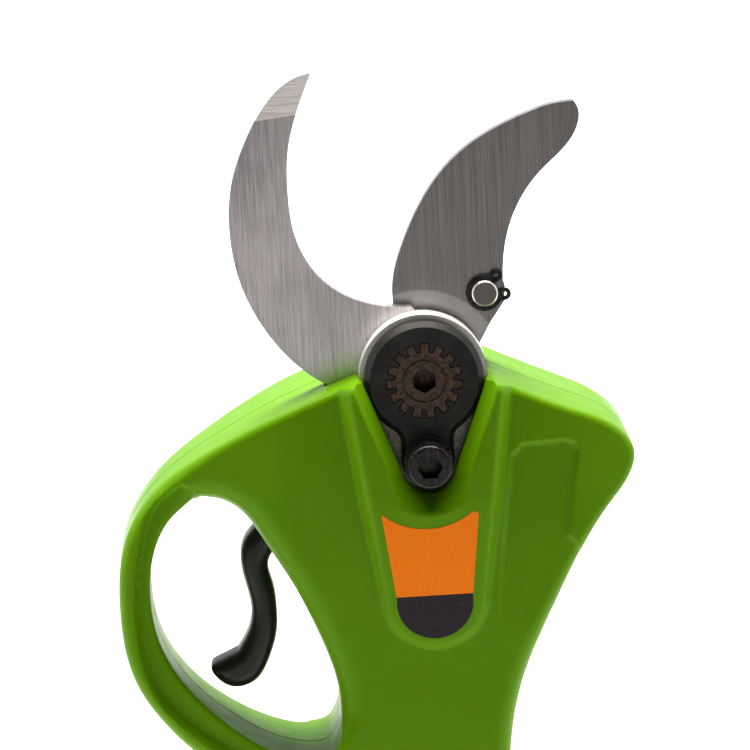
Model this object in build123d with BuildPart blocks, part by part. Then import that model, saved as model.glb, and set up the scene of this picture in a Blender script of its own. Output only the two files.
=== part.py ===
"""Battery electric pruner.

Frame: +Z up along the handle, +X to the right and -Y towards the viewer when the toothed
lock nut faces the viewer. The origin is the centre line of the motor on the flat bottom of
the battery pack. Profiles seen from the front are drawn in (x, z) measured from the blade
pivot, and everything on the motor line is placed by how far it lies below the pivot.
"""

from build123d import *
from math import atan2, cos, degrees, hypot, radians, sin
import os

os.makedirs("parts", exist_ok=True)

# ---------------------------------------------------------------- driving dimensions (mm)
PIVOT_Z = 218.0            # blade pivot above the bottom of the battery

FIT = 0.05                 # radial clearance of running fits
GAP = 0.2                  # clearance between parts that only pass each other

# Depth stack, front to back
NUT_FACE = -19.0
CHEEK_FRONT = -15.5
FIXED_FRONT = -10.0
FIXED_BACK = -6.5
MOVING_FRONT = -6.45
MOVING_BACK = -3.0
HUB_FRONT = -2.95
GEAR_BACK = 10.0
WASHER_BACK = 10.9
COVER_FRONT = 11.0
COVER_BACK = 15.0

# Head
CHEEK_RADIUS = 14.7
PLATE_RADIUS = 13.6
SCREW_DROP = 18.5          # lock screw below the pivot
NUT_TEETH = 15
NUT_TIP_RADIUS = 8.5
NUT_ROOT_RADIUS = 6.6
NUT_TOOTH_WIDTH = 1.75
NUT_TOOTH_TURN = -3.5      # degrees
PIVOT_RADIUS = 6.0
BUSH_RADIUS = 7.5
PIN_PLACE = (15.3, 17.2)   # drive pin, blades open
PIN_RADIUS = 3.0

# Bevel drive
BEVEL_MODULE = 1.0
PINION_TEETH = 10
SECTOR_RATIO = 4
BEVEL_OUTER = 20.616       # cone distance of the outer tooth ends
BEVEL_INNER = 14.2

# Planetary gears
SUN_TEETH = 10
PLANET_TEETH = 14
RING_TEETH = 38
PLANET_ORBIT = 7.2
GEARBOX_RADIUS = 14.0

# Motor
MOTOR_RADIUS = 12.2
MOTOR_TOP = 59.5           # drop below the pivot
MOTOR_LENGTH = 38.0
SHAFT_RADIUS = 1.15

# Housing
WALL = 2.4
GUARD_HALF_DEPTH = 11.0
DOCK_HALF_DEPTH = 23.0
TRIGGER_PIVOT = (-31.0, -33.5)
TRIGGER_HALF_WIDTH = 5.0
SCREW_PLACES = [
    (-46.0, -19.7),
    (38.5, -21.0),
    (21.0, -52.0),
    (-18.6, -72.0),
    (-31.0, -95.5),
    (9.0, -110.5),
    (-26.0, -158.0),
    (23.0, -158.0),
]

BUTTON_PLACE = (-5.0, -156.5)
BUTTON_RADIUS = 4.2
BUTTON_BACK = -18.2

# Battery
BATTERY_TOP = 45.0
BATTERY_X = (-45.0, 35.0)
BATTERY_HALF_DEPTH = 23.0
CELL_RADIUS = 9.2
CELL_LENGTH = 65.0


# ---------------------------------------------------------------- shared helpers
def facing(depth):
    """Plane seen from the front, centred on the pivot; positive extrusion comes forward."""
    return Plane(origin=(0, depth, PIVOT_Z), x_dir=(1, 0, 0), z_dir=(0, -1, 0))


def level(drop):
    """Horizontal plane at a drop below the pivot; positive extrusion goes up."""
    return Plane.XY.offset(PIVOT_Z - drop)


def finish(piece, name):
    """Label one finished piece and write its STEP file."""
    piece.part.label = name
    export_step(piece.part, f"parts/{name}.step")


def polar(radius, angle):
    """Point at a radius and an angle in degrees."""
    return (radius * cos(radians(angle)), radius * sin(radians(angle)))


def tooth_loop(teeth, steps, phase=0.0):
    """Closed outline of a gear; steps are (radius, half width) from one side of a tooth over it."""
    points = []
    for tooth in range(teeth):
        middle = phase + 360.0 * tooth / teeth
        for radius, half_width in steps:
            points.append(polar(radius, middle - degrees(half_width / radius)))
        for radius, half_width in reversed(steps):
            points.append(polar(radius, middle + degrees(half_width / radius)))
    return points


# ---------------------------------------------------------------- outlines seen from the front
def hook_outline():
    """Fixed blade: a slim hook, a round hub and a tail for the lock screw."""
    with BuildSketch() as outline:
        with BuildLine():
            Spline((-21.6, 70.4), (-23.9, 65.2), (-27.6, 53.7), (-28.3, 43.0), (-27.1, 32.7),
                   (-20.6, 21.9), (-11.7, 17.0), (-1.8, 15.7))
            Line((-1.8, 15.7), (3.0, 10.0))
            Line((3.0, 10.0), (-10.0, -9.0))
            Line((-10.0, -9.0), (-21.8, -1.5))
            Spline((-21.8, -1.5), (-27.3, 2.4), (-35.4, 12.2), (-40.6, 24.2), (-42.1, 35.8),
                   (-40.7, 47.2), (-37.2, 55.9), (-31.7, 64.7), (-25.8, 69.4), (-21.6, 70.4))
        make_face()
        Circle(13.5)
        with Locations((0, -12.0)):
            Rectangle(15.0, 24.0)
    return outline.sketch


def moving_outline():
    """Moving blade at rest: a broad curved blade, a corner at its heel and a round hub."""
    with BuildSketch() as outline:
        with BuildLine():
            Line((-5.8, 9.0), (-5.8, 19.0))
            Spline((-5.8, 19.0), (-3.5, 28.2), (3.6, 41.7), (14.9, 52.5), (30.0, 59.1), (37.6, 60.2),
                   tangents=[(0.05, 1.0), (1.0, 0.05)])
            Spline((37.6, 60.2), (38.6, 58.5), (37.7, 53.2), (29.6, 44.7), (22.2, 33.6),
                   (19.8, 22.1), (19.9, 15.1))
            Line((19.9, 15.1), (11.5, 3.4))
            Line((11.5, 3.4), (-5.8, 9.0))
        make_face()
        Circle(12.0)
    return outline.sketch


def nut_outline(grow=0.0):
    """Fifteen narrow round-ended teeth on a disc."""
    with BuildSketch() as outline:
        Circle(NUT_ROOT_RADIUS + grow)
        reach = NUT_TIP_RADIUS + grow
        with PolarLocations(reach / 2 + 2.0, NUT_TEETH, start_angle=90 + NUT_TOOTH_TURN):
            Rectangle(reach - 4.0, NUT_TOOTH_WIDTH + 2 * grow)
    return outline.sketch


def plate_outline():
    """Round lock plate with a lobe for its screw and concave necks."""
    with BuildSketch() as outline:
        Circle(PLATE_RADIUS)
        with Locations((0, -SCREW_DROP)):
            Circle(6.1)
        with Locations((0, -14.0)):
            Rectangle(12.0, 8.0)
        necks = outline.vertices().sort_by(Axis.Y)
        fillet([v for v in necks if -13.9 < v.Y < -11.0], 3.5)
    return outline.sketch


def notch_outline(half_top, slope_drop, half_low, bottom):
    """V-shaped window with a rounded bottom."""
    with BuildSketch() as outline:
        with BuildLine():
            Line((-half_low, -slope_drop), (-half_top, 8.0))
            Line((-half_top, 8.0), (half_top, 8.0))
            Line((half_top, 8.0), (half_low, -slope_drop))
            ThreePointArc((half_low, -slope_drop), (0, -bottom), (-half_low, -slope_drop))
        make_face()
    return outline.sketch


def yoke_outline(grow):
    """Long U of the raised front panel."""
    with BuildSketch() as outline:
        with BuildLine():
            Line((-11.4, -50.0), (-18.6, 8.0))
            Line((-18.6, 8.0), (18.6, 8.0))
            Line((18.6, 8.0), (11.4, -50.0))
            ThreePointArc((11.4, -50.0), (0, -62.5), (-11.4, -50.0))
        make_face()
        offset(amount=grow, kind=Kind.INTERSECTION)
    return outline.sketch


def badge_outline(grow=0.0):
    """Shield with a concave top and a round bottom."""
    with BuildSketch() as outline:
        with BuildLine():
            ThreePointArc((-11.6, -29.2), (0.0, -33.3), (10.8, -28.2))
            Line((10.8, -28.2), (8.4, -50.5))
            ThreePointArc((8.4, -50.5), (-0.4, -60.2), (-9.0, -50.5))
            Line((-9.0, -50.5), (-11.6, -29.2))
        make_face()
        fillet(outline.vertices().group_by(Axis.Y)[-1], 1.0)
        if grow:
            offset(amount=grow)
    return outline.sketch


def beside(points, distance):
    """Points of a run moved to its left-hand side."""
    moved = []
    for index, (x, z) in enumerate(points):
        before = points[max(index - 1, 0)]
        after = points[min(index + 1, len(points) - 1)]
        run = after[0] - before[0]
        rise = after[1] - before[1]
        length = hypot(run, rise)
        moved.append((x - distance * rise / length, z + distance * run / length))
    return moved


HANDLE_RUN = [(-52.7, -26.0), (-47.6, -26.7), (-42.3, -30.5), (-38.9, -35.8), (-33.2, -45.5),
              (-28.7, -55.5), (-25.1, -65.5), (-23.2, -75.0), (-23.4, -83.0)]
GUARD_RUN = [(-23.4, -83.0), (-26.0, -88.0), (-34.0, -88.5), (-45.0, -83.5), (-54.0, -76.3),
             (-59.4, -70.0), (-64.0, -61.0), (-65.6, -50.9), (-64.1, -39.0), (-58.6, -29.8),
             (-52.7, -26.0)]
LEFT_RUN = [(-15.0, 1.0), (-34.0, -6.3), (-50.4, -14.8), (-62.8, -23.7), (-70.3, -34.9),
            (-72.9, -51.0), (-70.2, -70.0), (-60.0, -84.5), (-42.0, -97.0), (-26.5, -105.0),
            (-22.4, -115.0), (-23.2, -129.0), (-30.0, -144.0), (-42.0, -156.0), (-45.0, -162.0)]
RIGHT_RUN = [(35.0, -162.0), (32.0, -155.0), (21.0, -143.5), (16.0, -128.0), (15.4, -112.0),
             (15.6, -92.0), (19.0, -74.0), (28.1, -53.6), (40.6, -32.6), (46.0, -25.8),
             (47.5, -20.5), (44.4, -14.8), (33.0, -8.3), (15.0, 0.0)]


def loop_outline(grow=0.0):
    """Finger opening between the handle and the guard."""
    handle = beside(HANDLE_RUN, grow)
    guard = beside(GUARD_RUN, grow)
    with BuildSketch() as outline:
        with BuildLine():
            first = Spline(*handle)
            Spline(first @ 1, *guard[1:-1], first @ 0)
        make_face()
    return outline.sketch


def housing_outline(inset=0.0):
    """Outer edge of the housing, guard included, without the finger opening."""
    left = beside(LEFT_RUN, inset)
    right = beside(RIGHT_RUN, inset)
    floor = -172.7 + inset
    with BuildSketch() as outline:
        with BuildLine():
            Spline(*left)
            Polyline(left[-1], (-45.0 + inset, floor), (35.0 - inset, floor), right[0])
            Spline(*right)
            Line(right[-1], left[0])
        make_face()
    return outline.sketch


# ---------------------------------------------------------------- blades and lock
def make_blades():
    """Fixed hook blade and moving blade."""
    with BuildPart() as fixed_blade:
        with BuildSketch(facing(FIXED_BACK)):
            add(hook_outline())
            Circle(PIVOT_RADIUS + FIT, mode=Mode.SUBTRACT)
            with Locations((0, -SCREW_DROP)):
                Circle(3.0, mode=Mode.SUBTRACT)
        extrude(amount=FIXED_BACK - FIXED_FRONT)
    finish(fixed_blade, "fixed_blade")

    with BuildPart() as moving_blade:
        with BuildSketch(facing(MOVING_BACK)):
            add(moving_outline())
            Circle(BUSH_RADIUS, mode=Mode.SUBTRACT)
            with Locations(PIN_PLACE):
                Circle(PIN_RADIUS, mode=Mode.SUBTRACT)
        extrude(amount=MOVING_BACK - MOVING_FRONT)
    finish(moving_blade, "moving_blade")


def make_pivot():
    """Pivot bolt, toothed nut, lock plate, its screw and spring washer, bush and washer."""
    with BuildPart() as pivot_bolt:
        with BuildSketch(facing(COVER_BACK)):
            Circle(PIVOT_RADIUS)
        extrude(amount=COVER_BACK - FIXED_BACK)
        with BuildSketch(facing(FIXED_BACK)):
            Circle(4.0)
        extrude(amount=7.0)
        with BuildSketch(facing(COVER_BACK + 3.2)):
            Circle(8.0)
        extrude(amount=3.2)
        chamfer(pivot_bolt.edges().filter_by(GeomType.CIRCLE).sort_by(Axis.Y)[-1], 0.6)
        with BuildSketch(facing(COVER_BACK + 1.6)):
            with Locations((0, 0)):
                Rectangle(16.5, 1.6)
        extrude(amount=-2.0, mode=Mode.SUBTRACT)
    finish(pivot_bolt, "pivot_bolt")

    with BuildPart() as toothed_nut:
        with BuildSketch(facing(CHEEK_FRONT)):
            add(nut_outline())
        extrude(amount=CHEEK_FRONT - NUT_FACE)
        with BuildSketch(facing(-6.9)):
            Circle(PIVOT_RADIUS)
        extrude(amount=-6.9 - CHEEK_FRONT)
        with BuildSketch(facing(NUT_FACE)):
            RegularPolygon(2.5, 6, major_radius=False, rotation=30)
        extrude(amount=-4.5, mode=Mode.SUBTRACT)
        with BuildSketch(facing(NUT_FACE)):
            Circle(5.0)
            Circle(4.65, mode=Mode.SUBTRACT)
        extrude(amount=-0.4, mode=Mode.SUBTRACT)
        with BuildSketch(facing(-6.9)):
            Circle(4.0 + FIT)
        extrude(amount=7.2, mode=Mode.SUBTRACT)
    finish(toothed_nut, "toothed_nut")

    with BuildPart() as lock_plate:
        with BuildSketch(facing(CHEEK_FRONT)):
            add(plate_outline())
        extrude(amount=CHEEK_FRONT - NUT_FACE)
        chamfer(lock_plate.faces().sort_by(Axis.Y)[0].outer_wire().edges(), 1.2)
        with BuildSketch(facing(CHEEK_FRONT)):
            add(nut_outline(GAP))
            with Locations((0, -SCREW_DROP)):
                Circle(3.0 + GAP)
        extrude(amount=CHEEK_FRONT - NUT_FACE, mode=Mode.SUBTRACT)
    finish(lock_plate, "lock_plate")

    with BuildPart() as lock_washer:
        with BuildSketch(facing(NUT_FACE)):
            with Locations((0, -SCREW_DROP)):
                Circle(5.6)
                Circle(3.0 + GAP, mode=Mode.SUBTRACT)
            with Locations(Location((3.6, -SCREW_DROP + 2.2), 20)):
                Rectangle(5.0, 0.5, mode=Mode.SUBTRACT)
        extrude(amount=1.5)
    finish(lock_washer, "lock_washer")

    head_back = NUT_FACE - 1.5
    with BuildPart() as lock_screw:
        with BuildSketch(facing(head_back)):
            with Locations((0, -SCREW_DROP)):
                Circle(5.0)
        extrude(amount=6.0)
        fillet(lock_screw.edges().filter_by(GeomType.CIRCLE).sort_by(Axis.Y)[0], 0.7)
        with BuildSketch(facing(head_back - 6.0)):
            with Locations((0, -SCREW_DROP)):
                RegularPolygon(2.5, 6, major_radius=False, rotation=0)
        extrude(amount=-3.2, mode=Mode.SUBTRACT)
        with BuildSketch(facing(FIXED_BACK - 0.3)):
            with Locations((0, -SCREW_DROP)):
                Circle(3.0 - FIT)
        extrude(amount=FIXED_BACK - 0.3 - head_back)
    finish(lock_screw, "lock_screw")

    with BuildPart() as blade_bush:
        with BuildSketch(facing(GEAR_BACK)):
            Circle(BUSH_RADIUS)
            Circle(PIVOT_RADIUS + FIT, mode=Mode.SUBTRACT)
        extrude(amount=GEAR_BACK - MOVING_FRONT)
    finish(blade_bush, "blade_bush")

    with BuildPart() as thrust_washer:
        with BuildSketch(facing(WASHER_BACK)):
            Circle(11.0)
            Circle(PIVOT_RADIUS + FIT, mode=Mode.SUBTRACT)
        extrude(amount=0.8)
    finish(thrust_washer, "thrust_washer")


# ---------------------------------------------------------------- bevel drive
def cone_plane(cone_distance):
    """Plane across the line where the pitch cones touch; local +y points at the pinion."""
    half_angle = atan2(1.0, SECTOR_RATIO)
    along = (0, sin(half_angle), -cos(half_angle))
    place = (0, cone_distance * along[1], PIVOT_Z + cone_distance * along[2])
    return Plane(origin=place, x_dir=(1, 0, 0), z_dir=along)


def bevel_tooth(cone_distance, side):
    """Trapezoid across one bevel tooth; side +1 is the sector, -1 the pinion."""
    size = BEVEL_MODULE * cone_distance / BEVEL_OUTER
    with BuildSketch(cone_plane(cone_distance)) as outline:
        with BuildLine():
            Polyline((-1.0 * size, -1.25 * size * side), (-0.62 * size, 0),
                     (-0.30 * size, 0.8 * size * side), (0.30 * size, 0.8 * size * side),
                     (0.62 * size, 0), (1.0 * size, -1.25 * size * side), close=True)
        make_face()
    return outline.sketch


def radial_plane(angle):
    """Plane through the pivot axis at an angle seen from the front; local (y, radius)."""
    across = (sin(radians(angle)), 0, -cos(radians(angle)))
    return Plane(origin=(0, 0, PIVOT_Z), x_dir=(0, 1, 0), z_dir=across)


def make_sector_gear():
    """Hub, bevel-toothed sector and the arm that carries the drive pin."""
    pivot_axis = Axis((0, 0, PIVOT_Z), (0, -1, 0))
    pitch = 360.0 / (PINION_TEETH * SECTOR_RATIO)
    tooth_count = 8
    with BuildPart() as tooth:
        add(bevel_tooth(BEVEL_OUTER, 1))
        add(bevel_tooth(BEVEL_INNER, 1))
        loft()
    with BuildPart() as sector_gear:
        with BuildSketch(facing(GEAR_BACK)):
            Circle(12.6)
        extrude(amount=GEAR_BACK - HUB_FRONT)
        with BuildSketch(radial_plane(-90 + pitch)):
            with BuildLine():
                Polyline((4.11, 13.61), (5.97, 19.76), (6.3, 20.6), (GEAR_BACK, 20.6),
                         (GEAR_BACK, 10.0), (4.11, 10.0), close=True)
            make_face()
        revolve(axis=pivot_axis, revolution_arc=-pitch * tooth_count)
        for number in range(tooth_count):
            add(tooth.part.rotate(pivot_axis, pitch / 2 - pitch * number))
        with BuildSketch(facing(4.0)):
            Circle(9.5)
            with Locations(PIN_PLACE):
                Circle(5.0)
            make_hull()
        extrude(amount=4.0 - HUB_FRONT)
        with BuildSketch(facing(GEAR_BACK)):
            Circle(BUSH_RADIUS)
            with Locations(PIN_PLACE):
                Circle(PIN_RADIUS)
        extrude(amount=GEAR_BACK - HUB_FRONT, mode=Mode.SUBTRACT)
    finish(sector_gear, "sector_gear")


def make_drive_pin():
    """Pin that carries the moving blade on the arm, and its external circlip."""
    groove_back = MOVING_FRONT - 0.1
    groove_front = groove_back - 0.9
    with BuildPart() as drive_pin:
        with BuildSketch(facing(4.0)):
            with Locations(PIN_PLACE):
                Circle(PIN_RADIUS)
        extrude(amount=4.0 - groove_front + 0.9)
        chamfer(drive_pin.edges().filter_by(GeomType.CIRCLE).sort_by(Axis.Y)[0], 0.3)
        with BuildSketch(facing(groove_back)):
            with Locations(PIN_PLACE):
                Circle(PIN_RADIUS + 0.5)
                Circle(PIN_RADIUS - 0.4, mode=Mode.SUBTRACT)
        extrude(amount=groove_back - groove_front, mode=Mode.SUBTRACT)
    finish(drive_pin, "drive_pin")

    with BuildPart() as pin_circlip:
        with BuildSketch(facing(groove_back - 0.05)):
            with Locations(Location(PIN_PLACE, 25)):
                with Locations((0.3, 0)):
                    Circle(4.2)
                with Locations((4.6, 1.6), (4.6, -1.6)):
                    Circle(1.3)
                Circle(PIN_RADIUS - 0.35, mode=Mode.SUBTRACT)
                with Locations((4.6, 0)):
                    Rectangle(5.0, 0.9, mode=Mode.SUBTRACT)
                with Locations((4.7, 1.6), (4.7, -1.6)):
                    Circle(0.55, mode=Mode.SUBTRACT)
        extrude(amount=0.8)
    finish(pin_circlip, "pin_circlip")


def make_pinion():
    """Bevel pinion with its shaft, and the ball bearing that carries it."""
    pinion_axis = Axis((0, 0, PIVOT_Z), (0, 0, 1))
    with BuildPart() as tooth:
        add(bevel_tooth(BEVEL_OUTER, -1))
        add(bevel_tooth(BEVEL_INNER, -1))
        loft()
    with BuildPart() as bevel_pinion:
        with BuildSketch(Plane.YZ):
            with Locations((0, PIVOT_Z)):
                Polygon((0, -13.94), (2.78, -13.94), (4.03, -20.24), (4.6, -20.6), (4.6, -24.8),
                        (3.0, -24.8), (3.0, -37.9), (0, -37.9), align=None)
        revolve(axis=pinion_axis)
        for number in range(PINION_TEETH):
            add(tooth.part.rotate(pinion_axis, 360.0 * number / PINION_TEETH))
    finish(bevel_pinion, "bevel_pinion")

    top = 24.8
    width = 5.0
    track = 5.25
    ball = 1.1
    races = [("bearing_outer_ring", 7.5, 6.05), ("bearing_inner_ring", 4.45, 3.0)]
    for name, outer, inner in races:
        with BuildPart() as ring:
            with BuildSketch(level(top + width)):
                Circle(outer)
                Circle(inner, mode=Mode.SUBTRACT)
            extrude(amount=width)
            with BuildSketch(Plane.XZ):
                with Locations((track, PIVOT_Z - top - width / 2)):
                    Circle(ball + FIT)
            revolve(axis=pinion_axis, mode=Mode.SUBTRACT)
        finish(ring, name)

    with BuildPart() as bearing_balls:
        with Locations((0, 0, PIVOT_Z - top - width / 2)):
            with PolarLocations(track, 9):
                Sphere(ball)
    finish(bearing_balls, "bearing_balls")


# ---------------------------------------------------------------- castings of the head
def make_head():
    """Front casting with the bearing seat, and the rear cover plate."""
    with BuildPart() as gear_head:
        with BuildSketch(facing(FIXED_FRONT)):
            Circle(CHEEK_RADIUS)
            with Locations((0, -16.5)):
                Rectangle(2 * CHEEK_RADIUS, 33.0)
        extrude(amount=FIXED_FRONT - CHEEK_FRONT)
        with BuildSketch(level(33.0)):
            Circle(GEARBOX_RADIUS)
        extrude(amount=9.9)
        with BuildSketch(level(33.0)):
            with Locations((0, 5.5)):
                Rectangle(24.0, 11.0)
            with Locations((0, -6.5)):
                Rectangle(24.0, 9.0)
        extrude(amount=9.9)
        with BuildSketch(facing(30.0)):
            with Locations((0, -28.0)):
                Rectangle(40.0, 20.0)
        extrude(amount=30.0 - COVER_FRONT, mode=Mode.SUBTRACT)
        with BuildSketch(level(33.1)):
            Circle(7.5)
        extrude(amount=8.3, mode=Mode.SUBTRACT)
        with BuildSketch(level(25.0)):
            Circle(5.4)
        extrude(amount=6.0, mode=Mode.SUBTRACT)
        with BuildSketch(facing(FIXED_BACK + 0.1)):
            add(hook_outline())
            offset(amount=0.15)
        extrude(amount=FIXED_BACK + 0.1 - FIXED_FRONT, mode=Mode.SUBTRACT)
        with BuildSketch(facing(FIXED_FRONT)):
            Circle(PIVOT_RADIUS + FIT)
            with Locations((0, -SCREW_DROP)):
                Circle(3.0)
        extrude(amount=8.0, mode=Mode.SUBTRACT)
        with BuildSketch(facing(COVER_FRONT)):
            with Locations((-8.5, -28.3), (8.5, -28.3)):
                Circle(1.25)
        extrude(amount=9.0, mode=Mode.SUBTRACT)
    finish(gear_head, "gear_head")

    with BuildPart() as gear_cover:
        with BuildSketch(facing(COVER_BACK)):
            Circle(12.8)
            with BuildLine():
                Polyline((-12.8, 0), (-12.8, -33), (12.8, -33), (12.8, 0), close=True)
            make_face()
        extrude(amount=COVER_BACK - COVER_FRONT)
        fillet(gear_cover.faces().sort_by(Axis.Y)[-1].outer_wire().edges(), 0.8)
        with BuildSketch(facing(COVER_BACK)):
            Circle(PIVOT_RADIUS + FIT)
            with Locations((-8.5, -28.3), (8.5, -28.3)):
                Circle(1.5 + FIT)
        extrude(amount=COVER_BACK - COVER_FRONT, mode=Mode.SUBTRACT)
    finish(gear_cover, "gear_cover")

    with BuildPart() as cover_screws:
        for place in [(-8.5, -28.3), (8.5, -28.3)]:
            with BuildSketch(facing(COVER_BACK + 2.0)):
                with Locations(place):
                    Circle(2.7)
            extrude(amount=2.0)
            with BuildSketch(facing(COVER_BACK)):
                with Locations(place):
                    Circle(1.2)
            extrude(amount=11.0)
            with BuildSketch(facing(COVER_BACK + 2.0)):
                with Locations(place):
                    RegularPolygon(1.25, 6, major_radius=False)
            extrude(amount=1.2, mode=Mode.SUBTRACT)
    finish(cover_screws, "cover_screws")


# ---------------------------------------------------------------- planetary gearbox
PLANET_STEPS = [(3.45, 0.66), (4.2, 0.39), (4.75, 0.18)]
SUN_STEPS = [(2.25, 0.62), (3.0, 0.39), (3.55, 0.16)]
RING_STEPS = [(12.15, 0.66), (11.4, 0.39), (10.85, 0.18)]


def planet_phase(number):
    """Turn of a planet whose teeth mesh with the sun and the ring."""
    place = 120.0 * number
    return place - 360.0 / PLANET_TEETH * (0.5 - SUN_TEETH * number / 3.0)


def make_planets(names, top, height):
    """Three planets of one stage, each in its own node."""
    for number, name in enumerate(names):
        centre = polar(PLANET_ORBIT, 120.0 * number)
        with BuildPart() as planet:
            with BuildSketch(level(top + height)):
                with Locations(centre):
                    Polygon(*tooth_loop(PLANET_TEETH, PLANET_STEPS, planet_phase(number)), align=None)
                    Circle(1.3 + FIT, mode=Mode.SUBTRACT)
            extrude(amount=height)
        finish(planet, name)


def make_gearbox():
    """Ring gear, both carriers, both sets of planets and the motor pinion."""
    with BuildPart() as ring_gear:
        with BuildSketch(level(57.0)):
            Circle(GEARBOX_RADIUS)
        extrude(amount=24.0)
        with BuildSketch(level(57.0)):
            Polygon(*tooth_loop(RING_TEETH, RING_STEPS), align=None)
        extrude(amount=24.0, mode=Mode.SUBTRACT)
    finish(ring_gear, "ring_gear")

    with BuildPart() as output_carrier:
        with BuildSketch(level(38.0)):
            Circle(10.4)
        extrude(amount=3.5)
        with BuildSketch(level(34.5)):
            Circle(4.2)
        extrude(amount=4.6)
        with BuildSketch(level(46.3)):
            with PolarLocations(PLANET_ORBIT, 3):
                Circle(1.3)
        extrude(amount=8.3)
        with BuildSketch(level(38.0)):
            Circle(3.0)
        extrude(amount=8.2, mode=Mode.SUBTRACT)
    finish(output_carrier, "output_carrier")
    make_planets(["upper_planet_1", "upper_planet_2", "upper_planet_3"], 38.2, 7.8)

    with BuildPart() as sun_carrier:
        with BuildSketch(level(49.6)):
            Circle(10.4)
        extrude(amount=3.0)
        with BuildSketch(level(46.6)):
            Polygon(*tooth_loop(SUN_TEETH, SUN_STEPS), align=None)
        extrude(amount=8.0)
        with BuildSketch(level(55.8)):
            with PolarLocations(PLANET_ORBIT, 3):
                Circle(1.3)
        extrude(amount=6.2)
    finish(sun_carrier, "sun_carrier")
    make_planets(["lower_planet_1", "lower_planet_2", "lower_planet_3"], 49.8, 5.8)

    with BuildPart() as motor_pinion:
        with BuildSketch(level(56.2)):
            Polygon(*tooth_loop(SUN_TEETH, SUN_STEPS), align=None)
            Circle(SHAFT_RADIUS, mode=Mode.SUBTRACT)
        extrude(amount=6.3)
    finish(motor_pinion, "motor_pinion")

    with BuildPart() as gearbox_plate:
        with BuildSketch(level(MOTOR_TOP)):
            Circle(GEARBOX_RADIUS)
            Circle(3.2, mode=Mode.SUBTRACT)
            with Locations((8.5, 0), (-8.5, 0)):
                Circle(1.25, mode=Mode.SUBTRACT)
        extrude(amount=2.5)
    finish(gearbox_plate, "gearbox_plate")


# ---------------------------------------------------------------- motor
def make_motor():
    """Brushed motor: can, magnets, wound rotor, shaft, end bell and brushes."""
    bottom = MOTOR_TOP + MOTOR_LENGTH
    bore = MOTOR_RADIUS - 0.9
    with BuildPart() as motor_can:
        with BuildSketch(level(bottom)):
            Circle(MOTOR_RADIUS)
        extrude(amount=MOTOR_LENGTH)
        with BuildSketch(level(bottom)):
            Circle(bore)
        extrude(amount=MOTOR_LENGTH - 1.2, mode=Mode.SUBTRACT)
        with BuildSketch(level(MOTOR_TOP + 1.2)):
            Circle(SHAFT_RADIUS + FIT)
            with Locations((8.5, 0), (-8.5, 0)):
                Circle(1.25)
        extrude(amount=1.2, mode=Mode.SUBTRACT)
    finish(motor_can, "motor_can")

    with BuildPart() as motor_screws:
        for side in (-8.5, 8.5):
            with BuildSketch(level(MOTOR_TOP + 2.0)):
                with Locations((side, 0)):
                    Circle(1.2)
            extrude(amount=4.5)
            with BuildSketch(level(MOTOR_TOP - 2.5)):
                with Locations((side, 0)):
                    Circle(2.2)
            extrude(amount=0.9)
    finish(motor_screws, "motor_screws")

    with BuildPart() as motor_magnets:
        with BuildSketch(level(bottom - 6.0)):
            Circle(bore)
            Circle(9.0, mode=Mode.SUBTRACT)
            Rectangle(9.0, 30.0, mode=Mode.SUBTRACT)
        extrude(amount=26.0)
    finish(motor_magnets, "motor_magnets")

    stack_bottom = bottom - 7.0
    stack_height = 24.0
    with BuildPart() as rotor_core:
        with BuildSketch(level(stack_bottom)):
            Circle(8.5)
            with PolarLocations(6.6, 5, start_angle=36):
                Rectangle(4.4, 1.4, mode=Mode.SUBTRACT)
            with PolarLocations(5.2, 5, start_angle=36):
                Circle(1.9, mode=Mode.SUBTRACT)
            Circle(SHAFT_RADIUS, mode=Mode.SUBTRACT)
        extrude(amount=stack_height)
    finish(rotor_core, "rotor_core")

    with BuildPart() as rotor_windings:
        with BuildSketch(level(stack_bottom + 0.1)):
            Circle(7.6)
            Circle(2.4, mode=Mode.SUBTRACT)
        extrude(amount=-2.6)
        with BuildSketch(level(stack_bottom - stack_height - 0.1)):
            Circle(7.6)
            Circle(2.4, mode=Mode.SUBTRACT)
        extrude(amount=2.6)
    finish(rotor_windings, "rotor_windings")

    with BuildPart() as motor_shaft:
        with BuildSketch(level(bottom + 4.6)):
            Circle(SHAFT_RADIUS)
        extrude(amount=bottom + 4.6 - 50.0)
    finish(motor_shaft, "motor_shaft")

    with BuildPart() as commutator:
        with BuildSketch(level(bottom + 2.2)):
            Circle(3.3)
            Circle(SHAFT_RADIUS, mode=Mode.SUBTRACT)
            with PolarLocations(3.1, 5):
                Rectangle(1.2, 0.4, mode=Mode.SUBTRACT)
        extrude(amount=5.6)
    finish(commutator, "commutator")

    with BuildPart() as motor_end_bell:
        with BuildSketch(level(bottom + 5.5)):
            Circle(MOTOR_RADIUS)
        extrude(amount=5.5)
        with BuildSketch(level(bottom + 3.0)):
            Circle(8.6)
        extrude(amount=3.0, mode=Mode.SUBTRACT)
        with BuildSketch(level(bottom + 5.5)):
            Circle(SHAFT_RADIUS + FIT)
        extrude(amount=5.5, mode=Mode.SUBTRACT)
    finish(motor_end_bell, "motor_end_bell")

    with BuildPart() as motor_brushes:
        for side in (-1, 1):
            with BuildSketch(level(bottom + 2.8)):
                with Locations((0, side * 5.45)):
                    Rectangle(2.4, 4.0)
            extrude(amount=2.6)
    finish(motor_brushes, "motor_brushes")


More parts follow.
